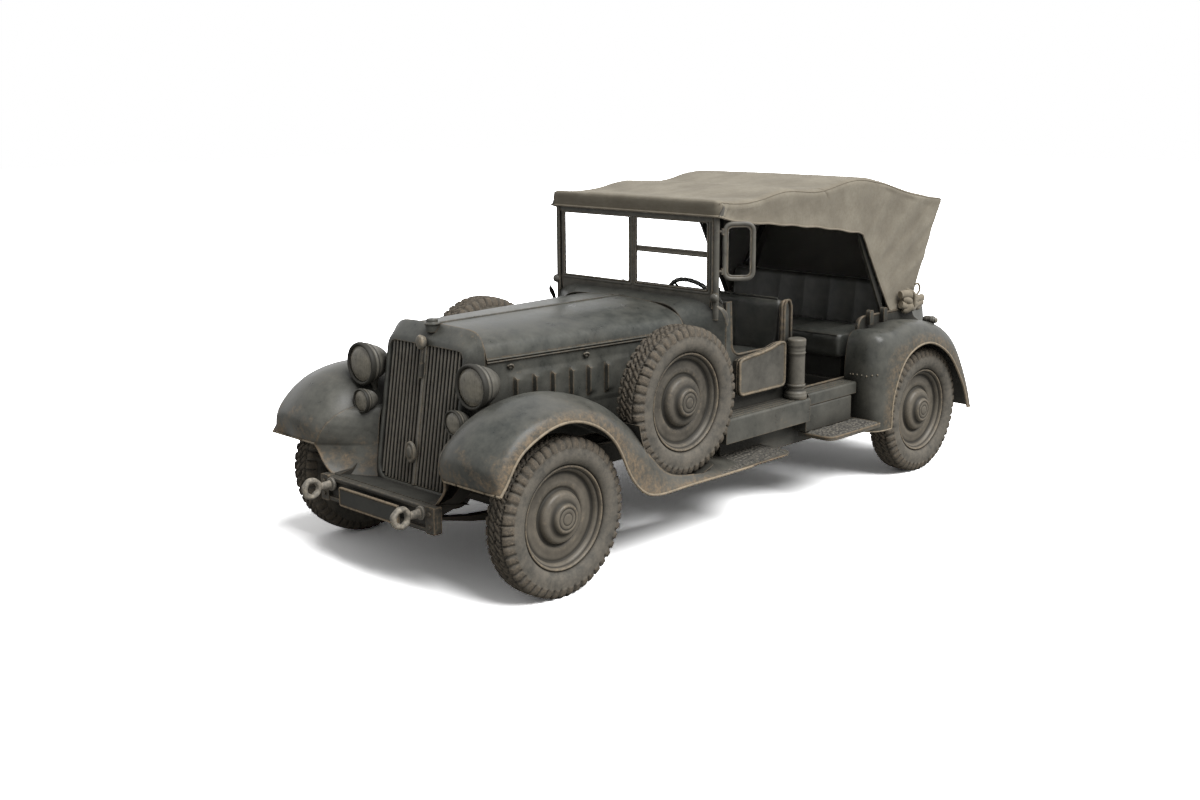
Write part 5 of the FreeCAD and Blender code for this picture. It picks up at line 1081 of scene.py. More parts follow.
# %% [markdown]
# ## Windscreen
# Two framed panes meet at a double post; the driver's pane is split by a pair of thin bars. Frames are
# rounded bars carried round rounded rectangles.


# %% Windscreen
def loop_path(x, y0, y1, z0, z1, corner):
    """A rounded rectangle across the car, as a closed path at x."""
    flat = rounded([(y0, z0), (y1, z0), (y1, z1), (y0, z1)], corner, 8)
    return np.concatenate([np.full((len(flat), 1), x), flat], axis=1)


SCREEN = -1366.0
PANES = ((-548, -24, 1292, 1660), (24, 548, 1292, 1478), (24, 548, 1494, 1660))
scuttle_top = spline(np.array([[y, z] for y, z in scuttle[9, :, 1:] if abs(y) < 640 and z > 1100]), 60)
order = np.argsort(scuttle_top[:, 0])
low_edge = scuttle_top[order] - (0, 10)
low_edge = low_edge[np.abs(low_edge[:, 0]) < 578]
board = np.concatenate([low_edge, [(577, 1290), (-577, 1290)]])
frame_parts = [plate_part(board, "x", -1377, -1357), box_part(-1379, -1354, -578, 578, 1662, 1690)]
for y0, y1, z0, z1 in ((-548, -24, 1292, 1660), (24, 548, 1292, 1660)):
    frame_parts.append(tube_part(loop_path(SCREEN, y0 - 13, y1 + 13, z0 - 13, z1 + 13, 14), 14.5, 10,
                                 (1, 0, 0), True, 0.85))
    frame_parts.append(tube_part(loop_path(SCREEN + 9, y0 + 1, y1 - 1, z0 + 1, z1 - 1, 12), 5.0, 8, (1, 0, 0),
                                 True))
frame_parts.append(box_part(SCREEN - 5, SCREEN + 5, 20, 552, 1474, 1498))
for z in (1476, 1496):
    frame_parts.append(tube_part(between([(SCREEN, 24, z), (SCREEN, 548, z)], 12), 7.0, 10, (0, 0, 1)))
for sign in BOTH:
    frame_parts.append(tube_part(between([(-1367, 598 * sign, 1140), (-1367, 598 * sign, 1688)], 16), 18.0,
                                 14, (1, 0, 0)))
    frame_parts.append(tube_part(between([(-1352, 584 * sign, 1200), (-1352, 584 * sign, 1685)], 16), 6.0, 8,
                                 (1, 0, 0)))
    knob = [(-16, 0), (-16, 12), (-7, 21), (4, 25), (15, 20), (22, 10), (23, 0)]
    frame_parts.append(turned_part(between(knob, 20), (-1350, 606 * sign, 1262), "x", 24))
WING_LOW, WING_HIGH, WING_WIDTH = 1348.0, 1664.0, 178.0
WING_TURN = math.radians(138)
wing_way = np.array([math.cos(WING_TURN), math.sin(WING_TURN), 0.0])
wing_foot = np.array([-1392.0, 620.0, 0.0])


def wing_loop(inset, corner):
    """A rounded rectangle in the wing's own splayed plane."""
    low, high, width = WING_LOW + inset, WING_HIGH - inset, WING_WIDTH - inset
    flat = rounded([(inset, low), (width, low), (width, high), (inset, high)], corner, 8)
    return wing_foot + flat[:, :1] * wing_way + np.concatenate([np.zeros((len(flat), 2)), flat[:, 1:]],
                                                               axis=1)


for sign in BOTH:
    face = np.array([-wing_way[1], wing_way[0], 0.0])
    parts = [tube_part(wing_loop(12, 44), 12.5, 12, face, True, 0.8),
             tube_part(wing_loop(27, 30), 5.5, 8, face, True)]
    for z in (1400, 1612):
        parts.append(tube_part([(-1372, 600, z), (-1382, 612, z), (-1392, 622, z)], 8.0, 10, (0, 0, 1)))
        parts.append(tube_part([(-1392, 621, z - 16), (-1392, 621, z + 16)], 9.0, 12, (1, 0, 0)))
    frame_parts += [part_on(part, sign) for part in parts]
piece("windscreen_bars", frame_parts, bright_paint, stands_for=("windscreen_frame",), sharp=50)
pane_parts = [box_part(SCREEN - 3, SCREEN + 3, y0 + 2, y1 - 2, z0 + 2, z1 - 2) for y0, y1, z0, z1 in PANES]
for sign in BOTH:
    pane_loop = wing_loop(26, 30)
    both_faces = np.concatenate([pane_loop - face * 2, pane_loop + face * 2])
    pane_parts.append(part_on((both_faces, prism_faces(len(pane_loop)), np.zeros(len(both_faces))), sign))
piece("window_panes", pane_parts, glass, stands_for=("window_glass",))

# %% [markdown]
# ## Body sides
# Each side is a pressed sheet with two cut-outs and a rolled bead round their edges. The middle pillar
# stands alone between them, with a bead up each edge. Behind the hood the sides' upper edge falls, and the
# tail follows it at its two shoulders only: its middle stays flat.

# %% Body sides
opening = [(-1440, 1236), (-1452, 975), (-1495, 935), (-1875, 935), (-1900, 960), (-1900, 1167),
           (-1914, 1185), (-1966, 1185), (-1980, 1167), (-1980, 690), (-2010, 655), (-2620, 655),
           (-2652, 685), (-2660, 965), (-2690, 1000), (-3246, 1000)]
outline = rounded([(-1401, 560), (-1401, 1236)] + opening
                  + [(-3262, 944), (-3345, 900), (-3440, 858), (-3540, 796),
                                                             (-3560, 640), (-3510, 560)],
                  [1, 8] + [14, 30, 40, 24, 22, 16, 14, 14, 16, 30, 30, 30, 24, 30, 30]
                  + [30, 24, 60, 60, 60, 40, 60], 9)
bead = rounded(opening, [1, 26, 40, 24, 22, 16, 14, 14, 16, 30, 30, 30, 24, 30, 30, 1], 8, False)
bead = upright(bead, 640.0)
for name, side in SIDES:
    parts = [plate_part(outline, "y", 621, 645), tube_part(bead, 8.5, 10, (0, 1, 0), mark=0.55)]
    for x in (-1909, -1971):
        parts.append(tube_part(between([(x, 650, 700), (x, 650, 1150), (x * 0.5 - 970, 650, 1186)], 30), 9.0,
                               12, (0, 1, 0), mark=0.5))
    for x, top in ((-2752, 1040), (-2902, 1040)):
        post = rounded([(x - 20, 952), (x + 20, 952), (x + 20, top), (x - 20, top)], [2, 2, 16, 16], 6)
        parts.append(plate_part(post, "y", 646, 676, 0.4))
    piece("body_side_pressing_" + name, parts, paint, stands_for=once("body_sides", side),
          side=side, bevel=4.0)
tail_line = between(rounded([(-3190, 0, 998), (-3248, 0, 998), (-3264, 0, 942), (-3345, 0, 900),
                             (-3440, 0, 858), (-3540, 0, 792), (-3559, 0, 640)], [0, 20, 24, 60, 60, 60, 0],
                             10, False)[9:-9], 70)
flat_line = between(rounded([(-3190, 0, 998), (-3559, 0, 998), (-3559, 0, 640)], [0, 60, 0], 10, False)[9:-9],
                    70)
tail_rows = []
for y in np.linspace(-619, 619, 34):
    flatness = 1 - ease(abs(y), 525, 619)
    tail_rows.append(tail_line * (1 - flatness) + flat_line * flatness + (0, y, 0))
tail_rows = np.stack(tail_rows)
tail_sheet = [sheet_part(tail_rows, 18.0),
              tube_part([(-3194, -612, 992), (-3194, 612, 992)], 7.0, 10, (0, 0, 1))]
piece("body_tail_panel", tail_sheet, paint, stands_for=("body_tail",), bevel=4.0)
dress(["body_floor"], dark_paint)

# %% [markdown]
# ## Seats
# A bench is a bag of leather over a box of springs. Its mesh is a rounded box with pleats; then a short
# cloth simulation blows it up from inside while its seams and its underside stay pinned.


# %% Seats
def cushion_part(corners, half, pleats, rise, radius=26.0):
    """A rounded (x, z) outline drawn along y, drawn in at both ends by r (1 - sqrt(1 - t^2)).
    The last two corners are the underside; the first run is pleated: rise (1 - |2 p - 1|^3) between seams."""
    loop = rounded(corners, radius, 7)
    loop = between(np.concatenate([loop, loop[:1]]), 65)[:-1]
    middle = loop.mean(axis=0)
    v = np.concatenate([[-half], -half + radius * (1 - np.cos(np.linspace(0.3, np.pi / 2, 6))),
                        np.linspace(-half + radius, half - radius, 130)[1:-1],
                        half - radius * (1 - np.cos(np.linspace(np.pi / 2, 0.3, 6))), [half]])
    t = np.clip((np.abs(v) - (half - radius)) / radius, 0, 1)
    pull = radius * (1 - np.sqrt(1 - t ** 2))
    out = loop - middle
    far = np.linalg.norm(out, axis=1)
    place = middle + out[None] * (1 - pull[:, None] / far[None])[..., None]
    slope = np.roll(loop, -1, axis=0) - np.roll(loop, 1, axis=0)
    normal = np.stack([slope[:, 1], -slope[:, 0]], axis=1)
    normal /= np.linalg.norm(normal, axis=1, keepdims=True)
    if ((normal * out).sum(axis=1) > 0).mean() < 0.5:
        normal = -normal
    under = np.array(corners[-1], float) - corners[-2]
    side = np.array([-under[1], under[0]]) / np.linalg.norm(under)
    lift = np.abs((loop - corners[-1]) @ side)
    free = ease(lift, 0.35 * lift.max(), 0.75 * lift.max())
    step = 2 * half / pleats
    phase = ((v + half) / step) % 1.0
    pleat = (1 - np.abs(2 * phase - 1) ** 3)[:, None] * free[None]
    place = place + (normal[None] * (rise * pleat * ease(half - np.abs(v), 0, 40)[:, None])[..., None])
    grid = np.stack([place[..., 0], np.broadcast_to(v[:, None], place.shape[:2]), place[..., 1]], axis=-1)
    shrink = [middle + (place[i] - middle) * k for i, k in ((0, 0.02), (0, 0.5), (-1, 0.5), (-1, 0.02))]
    caps = [upright(c, y) for c, y in zip(shrink, (-half, -half, half, half))]
    grid = np.concatenate([caps[0][None], caps[1][None], grid, caps[2][None], caps[3][None]])
    seam = np.abs(2 * phase - 1) ** 8
    hold = np.maximum(1 - free[None], seam[:, None] * np.ones(len(loop))[None])
    hold = np.concatenate([np.ones((2, len(loop))), hold, np.ones((2, len(loop)))])
    points, faces, marks = grid_part(grid, wrap_columns=True, mark=hold)
    faces += [list(range(len(loop))), list(range(len(points) - len(loop), len(points)))]
    return points, faces, marks


CLOTH_FRAMES = 20


def blow_up(made, force, limit):
    """A few frames of cloth under pressure; where mark is 1 it is pinned.
    No point moves over limit metres."""
    held = made.vertex_groups.new(name="seams")
    marks = np.zeros(len(made.data.vertices), np.float32)
    made.data.attributes["mark"].data.foreach_get("value", marks)
    for share in (0.25, 0.5, 0.75, 1.0):
        held.add(np.nonzero(marks >= share - 0.125)[0].tolist(), share, "REPLACE")
    cloth = made.modifiers.new("fill", "CLOTH")
    cloth.settings.quality = 4
    cloth.settings.mass = 0.4
    cloth.settings.tension_stiffness = cloth.settings.compression_stiffness = 40
    cloth.settings.bending_stiffness = 2.0
    cloth.settings.use_pressure = True
    cloth.settings.uniform_pressure_force = force
    cloth.settings.effector_weights.gravity = 0.0
    cloth.settings.vertex_group_mass = "seams"
    cloth.collision_settings.use_collision = False
    cloth.point_cache.frame_start, cloth.point_cache.frame_end = 1, CLOTH_FRAMES
    rest = np.zeros(len(marks) * 3, np.float32)
    made.data.vertices.foreach_get("co", rest)
    for number in range(1, CLOTH_FRAMES + 1):
        bpy.context.scene.frame_set(number)
    full = bpy.data.meshes.new_from_object(made.evaluated_get(bpy.context.evaluated_depsgraph_get()))
    blown = np.zeros(len(marks) * 3, np.float32)
    full.vertices.foreach_get("co", blown)
    bpy.data.meshes.remove(full)
    made.modifiers.remove(cloth)
    made.vertex_groups.clear()
    move = (blown - rest).reshape(-1, 3)
    length = np.maximum(np.linalg.norm(move, axis=1, keepdims=True), 1e-9)
    move *= np.minimum(1.0, limit / length)
    made.data.vertices.foreach_set("co", (rest.reshape(-1, 3) + move).ravel())
    made.data.update()
    bpy.context.scene.frame_set(1)
    print(made.name, "blown up by", round(float(np.abs(move).max()) * 1000, 1), "mm at most")


BENCHES = (("front", -1900.0, 900.0, 4), ("rear", -2960.0, 910.0, 6))
for name, x, top, panels in BENCHES:
    seat = [(x + 4, top - 4), (x + 416, top - 4), (x + 418, top - 148), (x + 4, top - 148)]
    rest_back = [(x - 6, top - 140), (x - 6, top + 6), (x - 34, 1168), (x - 54, 1188), (x - 104, 1164),
                 (x - 104, top - 140)]
    for kind, corners, pleats, node in (("cushion", seat, panels, "seat_cushions"),
                                        ("back", rest_back, panels, "seat_backs")):
        made = piece("%s_seat_%s" % (name, kind), [cushion_part(corners, 588.0, pleats, 7.0)], leather,
                     stands_for=(node,) if name == "front" else (), sharp=80)
        blow_up(made, 4.0, 0.012)
    piping = [tube_part([(x + 416, y, top - 10) for y in np.linspace(-570, 570, 40)], 5.0, 8),
              tube_part([(x - 50, y, 1190) for y in np.linspace(-570, 570, 40)], 5.0, 8)]
    piece(name + "_seat_piping", piping, leather, sharp=60)

# %% [markdown]
# ## Canvas hood
# One sheet covers front, roof, back and both sides. Its rows follow the roof line from the header over
# the bows and down to the deck; its columns run from one hem up, round the roof's edge and over. Each
# side row ends at its own place on the hem, so the cloth fans out behind the last bow as it is pulled.

# %% Canvas hood
ROOF = ((-1340, 1782), (-1640, 1768), (-1940, 1808), (-2240, 1790), (-2520, 1831), (-2800, 1820),
        (-3130, 1745), (-3400, 1688), (-3566, 1663))
HEM = ((-1340, 1694), (-1536, 1655), (-1890, 1617), (-2269, 1573), (-2645, 1516), (-2688, 1500),
       (-2756, 1390), (-2836, 1262), (-2920, 1130), (-3000, 1012), (-3040, 1001))
HOOD_HALF, HOOD_EDGE, CLOTH = 636.0, 40.0, 5.0
ON_ROOF = (100, 40)
roof_curve = spline([(x, z) for x, z in ROOF], 150)
front_fall = between([(-1340, 1694), (-1340, 1770)], 8)
back_fall = spline([(-3560, 1650), (-3483, 1517), (-3386, 1314), (-3290, 1114), (-3244, 1003)], 60)
spine = between(np.concatenate([front_fall, roof_curve, back_fall]), 250)
for _ in range(5):
    spine = eased(spine)
hem_curve = between(np.array(HEM, float), 400)
hem_curve[:, 1] -= 5.0 * np.sin(np.linspace(0, 1, 400) * np.pi * 9) ** 2 * ease(-hem_curve[:, 0], -2640,
                                                                                -1700) * ease(hem_curve[:, 0],
                                                                                              -2640, -2600)
run = np.concatenate([[0.0], np.cumsum(np.linalg.norm(np.diff(spine, axis=0), axis=1))])
hem_run = np.concatenate([[0.0], np.cumsum(np.linalg.norm(np.diff(hem_curve, axis=0), axis=1))])
over = run[np.argmax(spine[:, 0] < -2645)]
hem_over = hem_run[np.argmax(hem_curve[:, 0] < -2645)]
at = np.interp(run, [0, 70, over, run[-1]], [0, 12, hem_over, hem_run[-1]])
hem_at = np.stack([np.interp(at, hem_run, hem_curve[:, k]) for k in (0, 1)], axis=-1)
slope = np.gradient(spine, axis=0)
slope /= np.linalg.norm(slope, axis=1, keepdims=True)
outward = np.stack([-slope[:, 1], slope[:, 0]], axis=1) * -1
tail_run = run[np.argmin(spine[:, 0])]
edge = np.interp(run, [0, tail_run - 320, tail_run - 70, run[-1]], [HOOD_EDGE, HOOD_EDGE, 13.0, 13.0])
low_line = spine - outward * edge[:, None]
columns = []
SIDE, CORNER, TOP = 18, 7, 44
for t in np.linspace(0, 1, SIDE, endpoint=False):
    flat = hem_at + (low_line - hem_at) * t
    columns.append(upright(flat, -HOOD_HALF))
for angle in np.linspace(0, np.pi / 2, CORNER, endpoint=False):
    flat = spine - outward * edge[:, None] * (1 - math.sin(angle))
    columns.append(upright(flat, edge * (1 - math.cos(angle)) - HOOD_HALF))
for part in np.linspace(1, 0, TOP // 2):
    columns.append(upright(spine, (edge - HOOD_HALF) * part))
half_sheet = np.stack(columns, axis=1)
hood = np.concatenate([half_sheet, other_side(half_sheet[:, -2::-1], -1)], axis=1)

# %% [markdown]
# The cloth isn't flat: it hangs a little between the bows, stands up over each of them in a stitched
# seam, and creases where it is pulled. All of it is movement along the sheet's own normal.

# %% Creases of the canvas
normal = np.cross(np.gradient(hood, axis=0), np.gradient(hood, axis=1))
normal /= np.maximum(np.linalg.norm(normal, axis=-1, keepdims=True), 1e-9)
if normal[ON_ROOF[0], hood.shape[1] // 2, 2] < 0:
    normal = -normal
x, y, z = hood[..., 0], hood[..., 1], hood[..., 2]
on_roof = 1 - ease(np.abs(y), HOOD_HALF - 60, HOOD_HALF - 2)
on_side = 1 - on_roof
place = run[:, None] + 0 * x
move = 5.0 * np.cos(np.clip(y / HOOD_HALF, -1, 1) * np.pi / 2) * on_roof
for bow_x in (-1940, -2520, -2880):
    move += 2.6 * np.exp(-((x - bow_x) / 9.0) ** 2) * on_roof * (z > 1600)
    move += 1.2 * np.exp(-((x - bow_x + 26) / 3.0) ** 2) * on_roof * (z > 1600)
wander = 46.0 * ripple(x, y, 700.0, 31, 3)
pulled = np.sin((x + 0.55 * np.abs(y) + wander) / 62.0) * np.sin((x - 0.35 * np.abs(y) + 2.2
                                                                  * wander) / 210.0 + 0.6)
move += 3.4 * pulled * on_roof
move += 4.2 * ripple(x, y * 0.6, 620.0, 33, 3) * on_roof
down = np.clip((z - hem_at[:, None, 1]) / np.maximum(low_line[:, None, 1] - hem_at[:, None, 1], 1), 0, 1)
fan = np.sin(place / 52.0 + 1.8 * ripple(place, z, 420.0, 35, 3))
pull_back = 1.8 * fan * ease(down, 0.0, 0.25) * (0.35 + 0.65 * ease(-x, 2400, 2900))
move += on_side * (pull_back - 3.0 * np.sin(np.clip(down, 0, 1) * np.pi))
move += 2.6 * on_side * ripple(place, z, 300.0, 37, 3)
edge_fold = np.exp(-((z - np.interp(x, [-3458, -3321, -3090, -2800], [1627, 1661, 1710, 1790])) / 11.0) ** 2)
edge_fold *= on_side * ease(-x, 2780, 2900) * (0.6 + 0.4 * np.sin(x / 37.0))
short_fold = np.exp(-((x + 2225 + 0.9 * (np.abs(y) - 560) + (1790 - z) * 0.5) / 7.0) ** 2)
short_fold *= ease(np.abs(y), 540, 580) * ease(z, 1725, 1755)
move -= 4.0 * edge_fold + 6.0 * short_fold
gather = np.exp(-(((x + 1372) / 60.0) ** 2 + ((z - 1715) / 60.0) ** 2)) * on_side
move += gather * (4.0 + 6.0 * np.sin(x / 7.0 + z / 11.0))
move += 1.6 * ripple(x + z, y - z, 150.0, 39, 4)
curtain = ease(-x - 0.45 * (1663 - z), 3380, 3470) * on_roof
hang = -9.0 * np.cos(y / HOOD_HALF * np.pi / 2) * np.sin(np.clip((z - 1001) / 660, 0, 1) * np.pi)
move += curtain * (hang + 5.0 * np.sin(y / 47.0 + 2 * ripple(y, z, 300.0, 41, 2)))
move *= ease(place, 6, 60) * 0.85 + 0.15
crowd = np.linalg.norm(np.gradient(hood, axis=0), axis=-1)
move *= ease(crowd, 0.6, 2.6)
least = -5.0 * on_side - 3.0 * on_roof - 9.0 * curtain
move = np.where(move < least, least + 0.08 * (move - least), move)
hood = hood + normal * move[..., None]
# The marks darken the cloth a little everywhere, and more in its dips, along its folds and along the hem.
fold_mark = np.clip(0.2 - 0.09 * move + 0.5 * edge_fold + short_fold, 0, 0.9) * 0.8
hem_mark = (1 - ease(down, 0.0, 0.07)) * on_side * 0.5
# Painted shade: the front header is darkened towards the stain colour, standing in for the shade on its
# forward face.
header_painted_shade = 0.55 - 0.55 * ease(place + 6.0 * ripple(y, place, 90.0, 43, 3), 66, 84)
outer_mark = np.clip(fold_mark + hem_mark + header_painted_shade, 0, 1)
turned = np.cross(np.gradient(hood, axis=0)[ON_ROOF], np.gradient(hood, axis=1)[ON_ROOF])
way_in = 1.0 if turned @ normal[ON_ROOF] > 0 else -1.0
sheet_points, sheet_faces, sheet_marks = sheet_part(hood, CLOTH, outer_mark, inward=way_in)
lining = np.tile(np.concatenate([np.zeros(hood.shape[1]), np.full(hood.shape[1], LINING_MARK)]),
                 hood.shape[0])
sheet_marks = np.where(lining > 1, LINING_MARK, sheet_marks)
canvas_piece = piece("canvas_hood", [(sheet_points, sheet_faces, sheet_marks)], canvas_cloth,
                     stands_for=("hood_canvas",), sharp=70)
hem_parts = [tube_part(hood[:, 0], 6.0, 10, (0, 1, 0)), tube_part(hood[:, -1], 6.0, 10, (0, 1, 0)),
             tube_part(hood[0], 6.0, 10, (1, 0, 0)), tube_part(hood[-1], 6.0, 10, (1, 0, 0))]
for column in (SIDE + CORNER // 2, hood.shape[1] - 1 - SIDE - CORNER // 2):
    hem_parts.append(tube_part(hood[6:-1, column] + normal[6:-1, column] * 1.0, 3.2, 8, (0, 0, 1)))
hem_piece = piece("canvas_hems", hem_parts, canvas_hem, sharp=70)
dress(["hood_frame"], dark_paint)

# %% [markdown]
# ## Steering wheel
# The rim is a ring square to the raked column, with finger grips below it, three flat spokes and a hub.

# %% Steering wheel
RAKE = math.radians(35)
helm_centre = np.array([-1610.0, 270.0, 1160.0])
helm_down = np.array([math.cos(RAKE), 0, -math.sin(RAKE)])
helm_up = np.array([math.sin(RAKE), 0, math.cos(RAKE)])
helm_across = np.array([0, 1.0, 0])


def helm_points(points):
    """Points (across, up, down the column) in the wheel's own frame, placed in the car."""
    points = np.asarray(points, float)
    return helm_centre + points[..., :1] * helm_across + points[..., 1:2] * helm_up + points[...,
                                                                                             2:] * helm_down


turns = np.linspace(0, 2 * np.pi, 193)[:-1]
rim = helm_points(np.stack([190 * np.cos(turns), 190 * np.sin(turns), 0 * turns], axis=-1))
helm_parts = [tube_part(rim, 12.6 + 1.1 * np.cos(turns * 32), 14, helm_down, True)]
for turn in (90, 210, 330):
    c, s = math.cos(math.radians(turn)), math.sin(math.radians(turn))
    spoke = helm_points([(r * s, r * c, 12 - 8 * (r / 190) ** 2) for r in np.linspace(24, 186, 14)])
    helm_parts.append(tube_part(spoke, np.linspace(11, 9, 14), 10, helm_down, squash=0.45))
hub = np.array([(-8, 0), (-8, 14), (-4, 20), (2, 24), (8, 34), (16, 36), (30, 32), (34, 30), (34, 0)], float)
hub = between(hub, 40)
points, faces, marks = turned_part(hub, (0, 0, 0), "z", 36)
helm_parts.append((helm_points(points), faces, marks))
piece("steering_rim", helm_parts, dark_paint, "steering_wheel", ("steering_wheel",), 60)
dress(["steering_column"], dark_paint)

# %% [markdown]
# ## Lamps
# Bowls, rims and lenses are turned profiles. The rim is a thick rolled ring, a groove sets off the
# lens, and a second band runs round the bowl.


# %% Lamps
def scaled(profile, radius, depth, count=70):
    """A profile drawn for radius 110 and depth 170, made to fit another lamp, with its corners eased."""
    line = np.array(profile, float) * (depth / 170.0, radius / 110.0)
    line = eased(between(line, count))
    line[:, 1] = np.maximum(line[:, 1], 0)
    return line


BOWL = [(-20, 0), (-20, 93), (-3, 93.5), (4, 96), (8, 101), (6, 107), (-2, 111), (-14, 112), (-24, 110),
        (-29, 105), (-31, 101), (-35, 102), (-40, 105), (-50, 104), (-54, 99), (-60, 97), (-84, 90),
        (-112, 78), (-138, 60), (-156, 40), (-167, 20), (-171, 0)]
LENS = [(-19, 0), (-19, 92.5), (-6, 92.5), (-3, 90), (-6, 86), (-3, 82), (2, 78), (6, 62), (9.5, 40),
        (11.5, 18), (12, 0)]
LAMPS = (((218, 431, 993), 110, 170), ((275, 362, 819), 62, 100))
bowls, lenses = [], []
for place, radius, depth in LAMPS:
    bowl = scaled(BOWL, radius, depth)
    bowls.append(turned_part(bowl, place, "x", 48, ridge_wear_and_groove_shade(bowl, 1.8)))
    lenses.append(turned_part(scaled(LENS, radius, depth, 36), place, "x", 48))
stalk = between([(128, 441, 700), (128, 441, 906)], 24)
bowls.append(tube_part(stalk, 15 + 9 * ease(np.arange(24), 17, 23) + 12 * (1 - ease(np.arange(24), 0, 7)), 16,
                       (1, 0, 0)))
arm = between([(98, 336, 993), (98, 400, 993)], 20)
bowls.append(tube_part(arm, 13 + 9 * (1 - ease(np.arange(20), 0, 8)), 14, (0, 0, 1)))
prop = between([(225, 372, 809), (228, 430, 806), (222, 512, 800)], 20)
bowls.append(tube_part(prop, 17 + 8 * ease(np.arange(20), 8, 19), 14, (0, 0, 1)))
bean = between([(-46, 0), (-45, 12), (-40, 19), (-30, 24), (-18, 25.5), (-12, 26.5), (-8, 24.5), (10, 25),
                (14, 27), (20, 27), (24, 24.5), (34, 22), (41, 15), (46, 6), (46.5, 0)], 70)
bowls.append(turned_part(bean, (-3240, 782, 935), "y", 30))
bowls.append(tube_part([(-3240, 768, 880), (-3240, 772, 905), (-3240, 776, 925)], 10.0, 10, (1, 0, 0)))
rear_lens = between([(44, 0), (44, 17), (49, 15), (51, 8), (51.5, 0)], 20)
lenses.append(turned_part(rear_lens, (-3240, 782, 935), "y", 26))
both_bowls = [part_on(part, sign) for part in bowls for sign in BOTH]
both_lenses = [part_on(part, sign) for part in lenses for sign in BOTH]
piece("lamp_bowls", both_bowls, bright_paint, stands_for=("lamps",), sharp=50)
piece("lamp_lenses", both_lenses, lens, stands_for=("lamp_glasses",), sharp=50)

# %% [markdown]
# ## Bumper
# A channel with closed ends carries a blank framed board and two heavy towing rings.

# %% Bumper
channel = rounded([(430, 332), (472, 332), (472, 356), (456, 356), (456, 438), (472, 438), (472, 462),
                   (430, 462)], [8, 10, 5, 3, 3, 5, 12, 8], 6)
bumper_parts = [plate_part(channel, "y", -450, 450, 0.25)]
for sign in BOTH:
    y = sorted((388 * sign, 452 * sign))
    end = rounded([(y[0], 330), (y[1], 330), (y[1], 464), (y[0], 464)], 10, 6)
    bumper_parts.append(plate_part(end, "x", 428, 476, 0.35))
    for bolt_y, bolt_z in ((420, 365), (420, 430)):
        head = [(-2, 0), (-2, 11), (5, 11), (7, 9), (7, 0)]
        bumper_parts.append(turned_part(head, (477, bolt_y * sign, bolt_z), "x", 6))
board = rounded([(-234, 347), (234, 347), (234, 442), (-234, 442)], 8, 6)
bumper_parts.append(plate_part(board, "x", 508, 519, 0.3))
rim_line = np.concatenate([np.full((len(board), 1), 518.0),
                           (board - (0, 394.5)) * (0.985, 0.93) + (0, 394.5)], axis=1)
bumper_parts.append(tube_part(rim_line, 5.5, 10, (1, 0, 0), True, mark=0.9))
bumper_parts.append(box_part(455, 510, -40, 40, 367, 422))
tow_parts = []
for sign in BOTH:
    turns = np.linspace(0, 2 * np.pi, 73)[:-1]
    wobble = 1 + 0.03 * np.sin(3 * turns + sign) + 0.02 * np.sin(7 * turns)
    ring = np.stack([595 + 41.5 * wobble * np.cos(turns), np.full(72, 358.0 * sign),
                     425 + 41.5 * wobble * np.sin(turns)], axis=-1)
    tow_parts.append(tube_part(ring, 14.5 + 1.0 * np.sin(turns * 5), 16, (0, 1, 0), True, squash=1.15,
                               mark=0.6))
    shank = between([(440, 358 * sign, 425), (500, 358 * sign, 425), (556, 358 * sign, 425)], 16)
    tow_parts.append(tube_part(shank, np.linspace(25, 18, 16), 16, (0, 1, 0), squash=0.8, mark=0.5))
    collar = [(470, 0), (470, 33), (476, 35), (484, 33), (488, 24), (488, 0)]
    tow_parts.append(turned_part([(a - 470, r) for a, r in collar], (470, 358 * sign, 425), "x", 28))
piece("bumper_channel", bumper_parts, bumper_paint, stands_for=("bumper",), sharp=45)
piece("tow_rings", tow_parts, cast_iron, sharp=45)
face = rounded([(-224, 357), (224, 357), (224, 432), (-224, 432)], 5, 5)
piece("bumper_board_face", [plate_part(face, "x", 517, 521)], dark_paint, sharp=45, bevel=1.5)

# %% [markdown]
# ## Steps and boxes along the sill
# The boxes are drawn as sections across the car with their ribs in the outline, and run along it.


# %% Sill
def ribbed(y0, y1, low, top, grooves, corner=16.0):
    """A section (y, z): square below, its outer top edge rounded, with grooves of 3 mm cut in its top."""
    line = [(y0, low), (y1, low)] + rounded([(y1, low), (y1, top), (y0, top)], corner, 8)[8:16].tolist()
    for y in np.linspace(y1 - corner - 14, y0 + 14, grooves):
        line += [(y + 4, top), (y + 2.2, top - 3), (y - 2.2, top - 3), (y - 4, top)]
    return np.array(line + [(y0, top)], float)


for name, side in SIDES:
    parts = [plate_part(ribbed(645.5, 780, 500, 635, 4), "x", -2000, -1250),
             plate_part(ribbed(645.5, 750, 430, 580, 2), "x", -2450, -2002),
             plate_part(ribbed(645.5, 750, 580, 650, 3, 14), "x", -2500, -2020),
             box_part(-2300, -1340, 645.5, 662, 401, 502), box_part(-2300, -1703, 645.5, 662, 345, 402)]
    piece("sill_boxes_" + name, parts, paint, stands_for=once("sill_boxes", side), side=side, bevel=2.5)
    plate = rounded([(-2512, 700), (-2000, 700), (-2000, 930), (-2512, 930)], [2, 4, 70, 30], 10)
    step_edge = rounded([(-2002, 752, 421), (-2002, 926, 421), (-2508, 926, 421), (-2508, 706, 421)],
                        [0, 66, 28, 0], 10, False)
    piece("rear_step_" + name, [plate_part(plate, "z", 402, 424, 0.1),
                                tube_part(step_edge, 6.0, 10, mark=0.7)], paint,
          side=side, sharp=45, bevel=2.0)
    pad = gritty_plate(-2494, -2016, 754, 914, 420, 431, 60, 27)
    mirrored = pad[0] * (-1, 1, 1) + (-2494 - 2016, 0, 0)
    piece("rear_step_tread_" + name, [(mirrored, pad[1], pad[2])], tread, side=side, sharp=60)

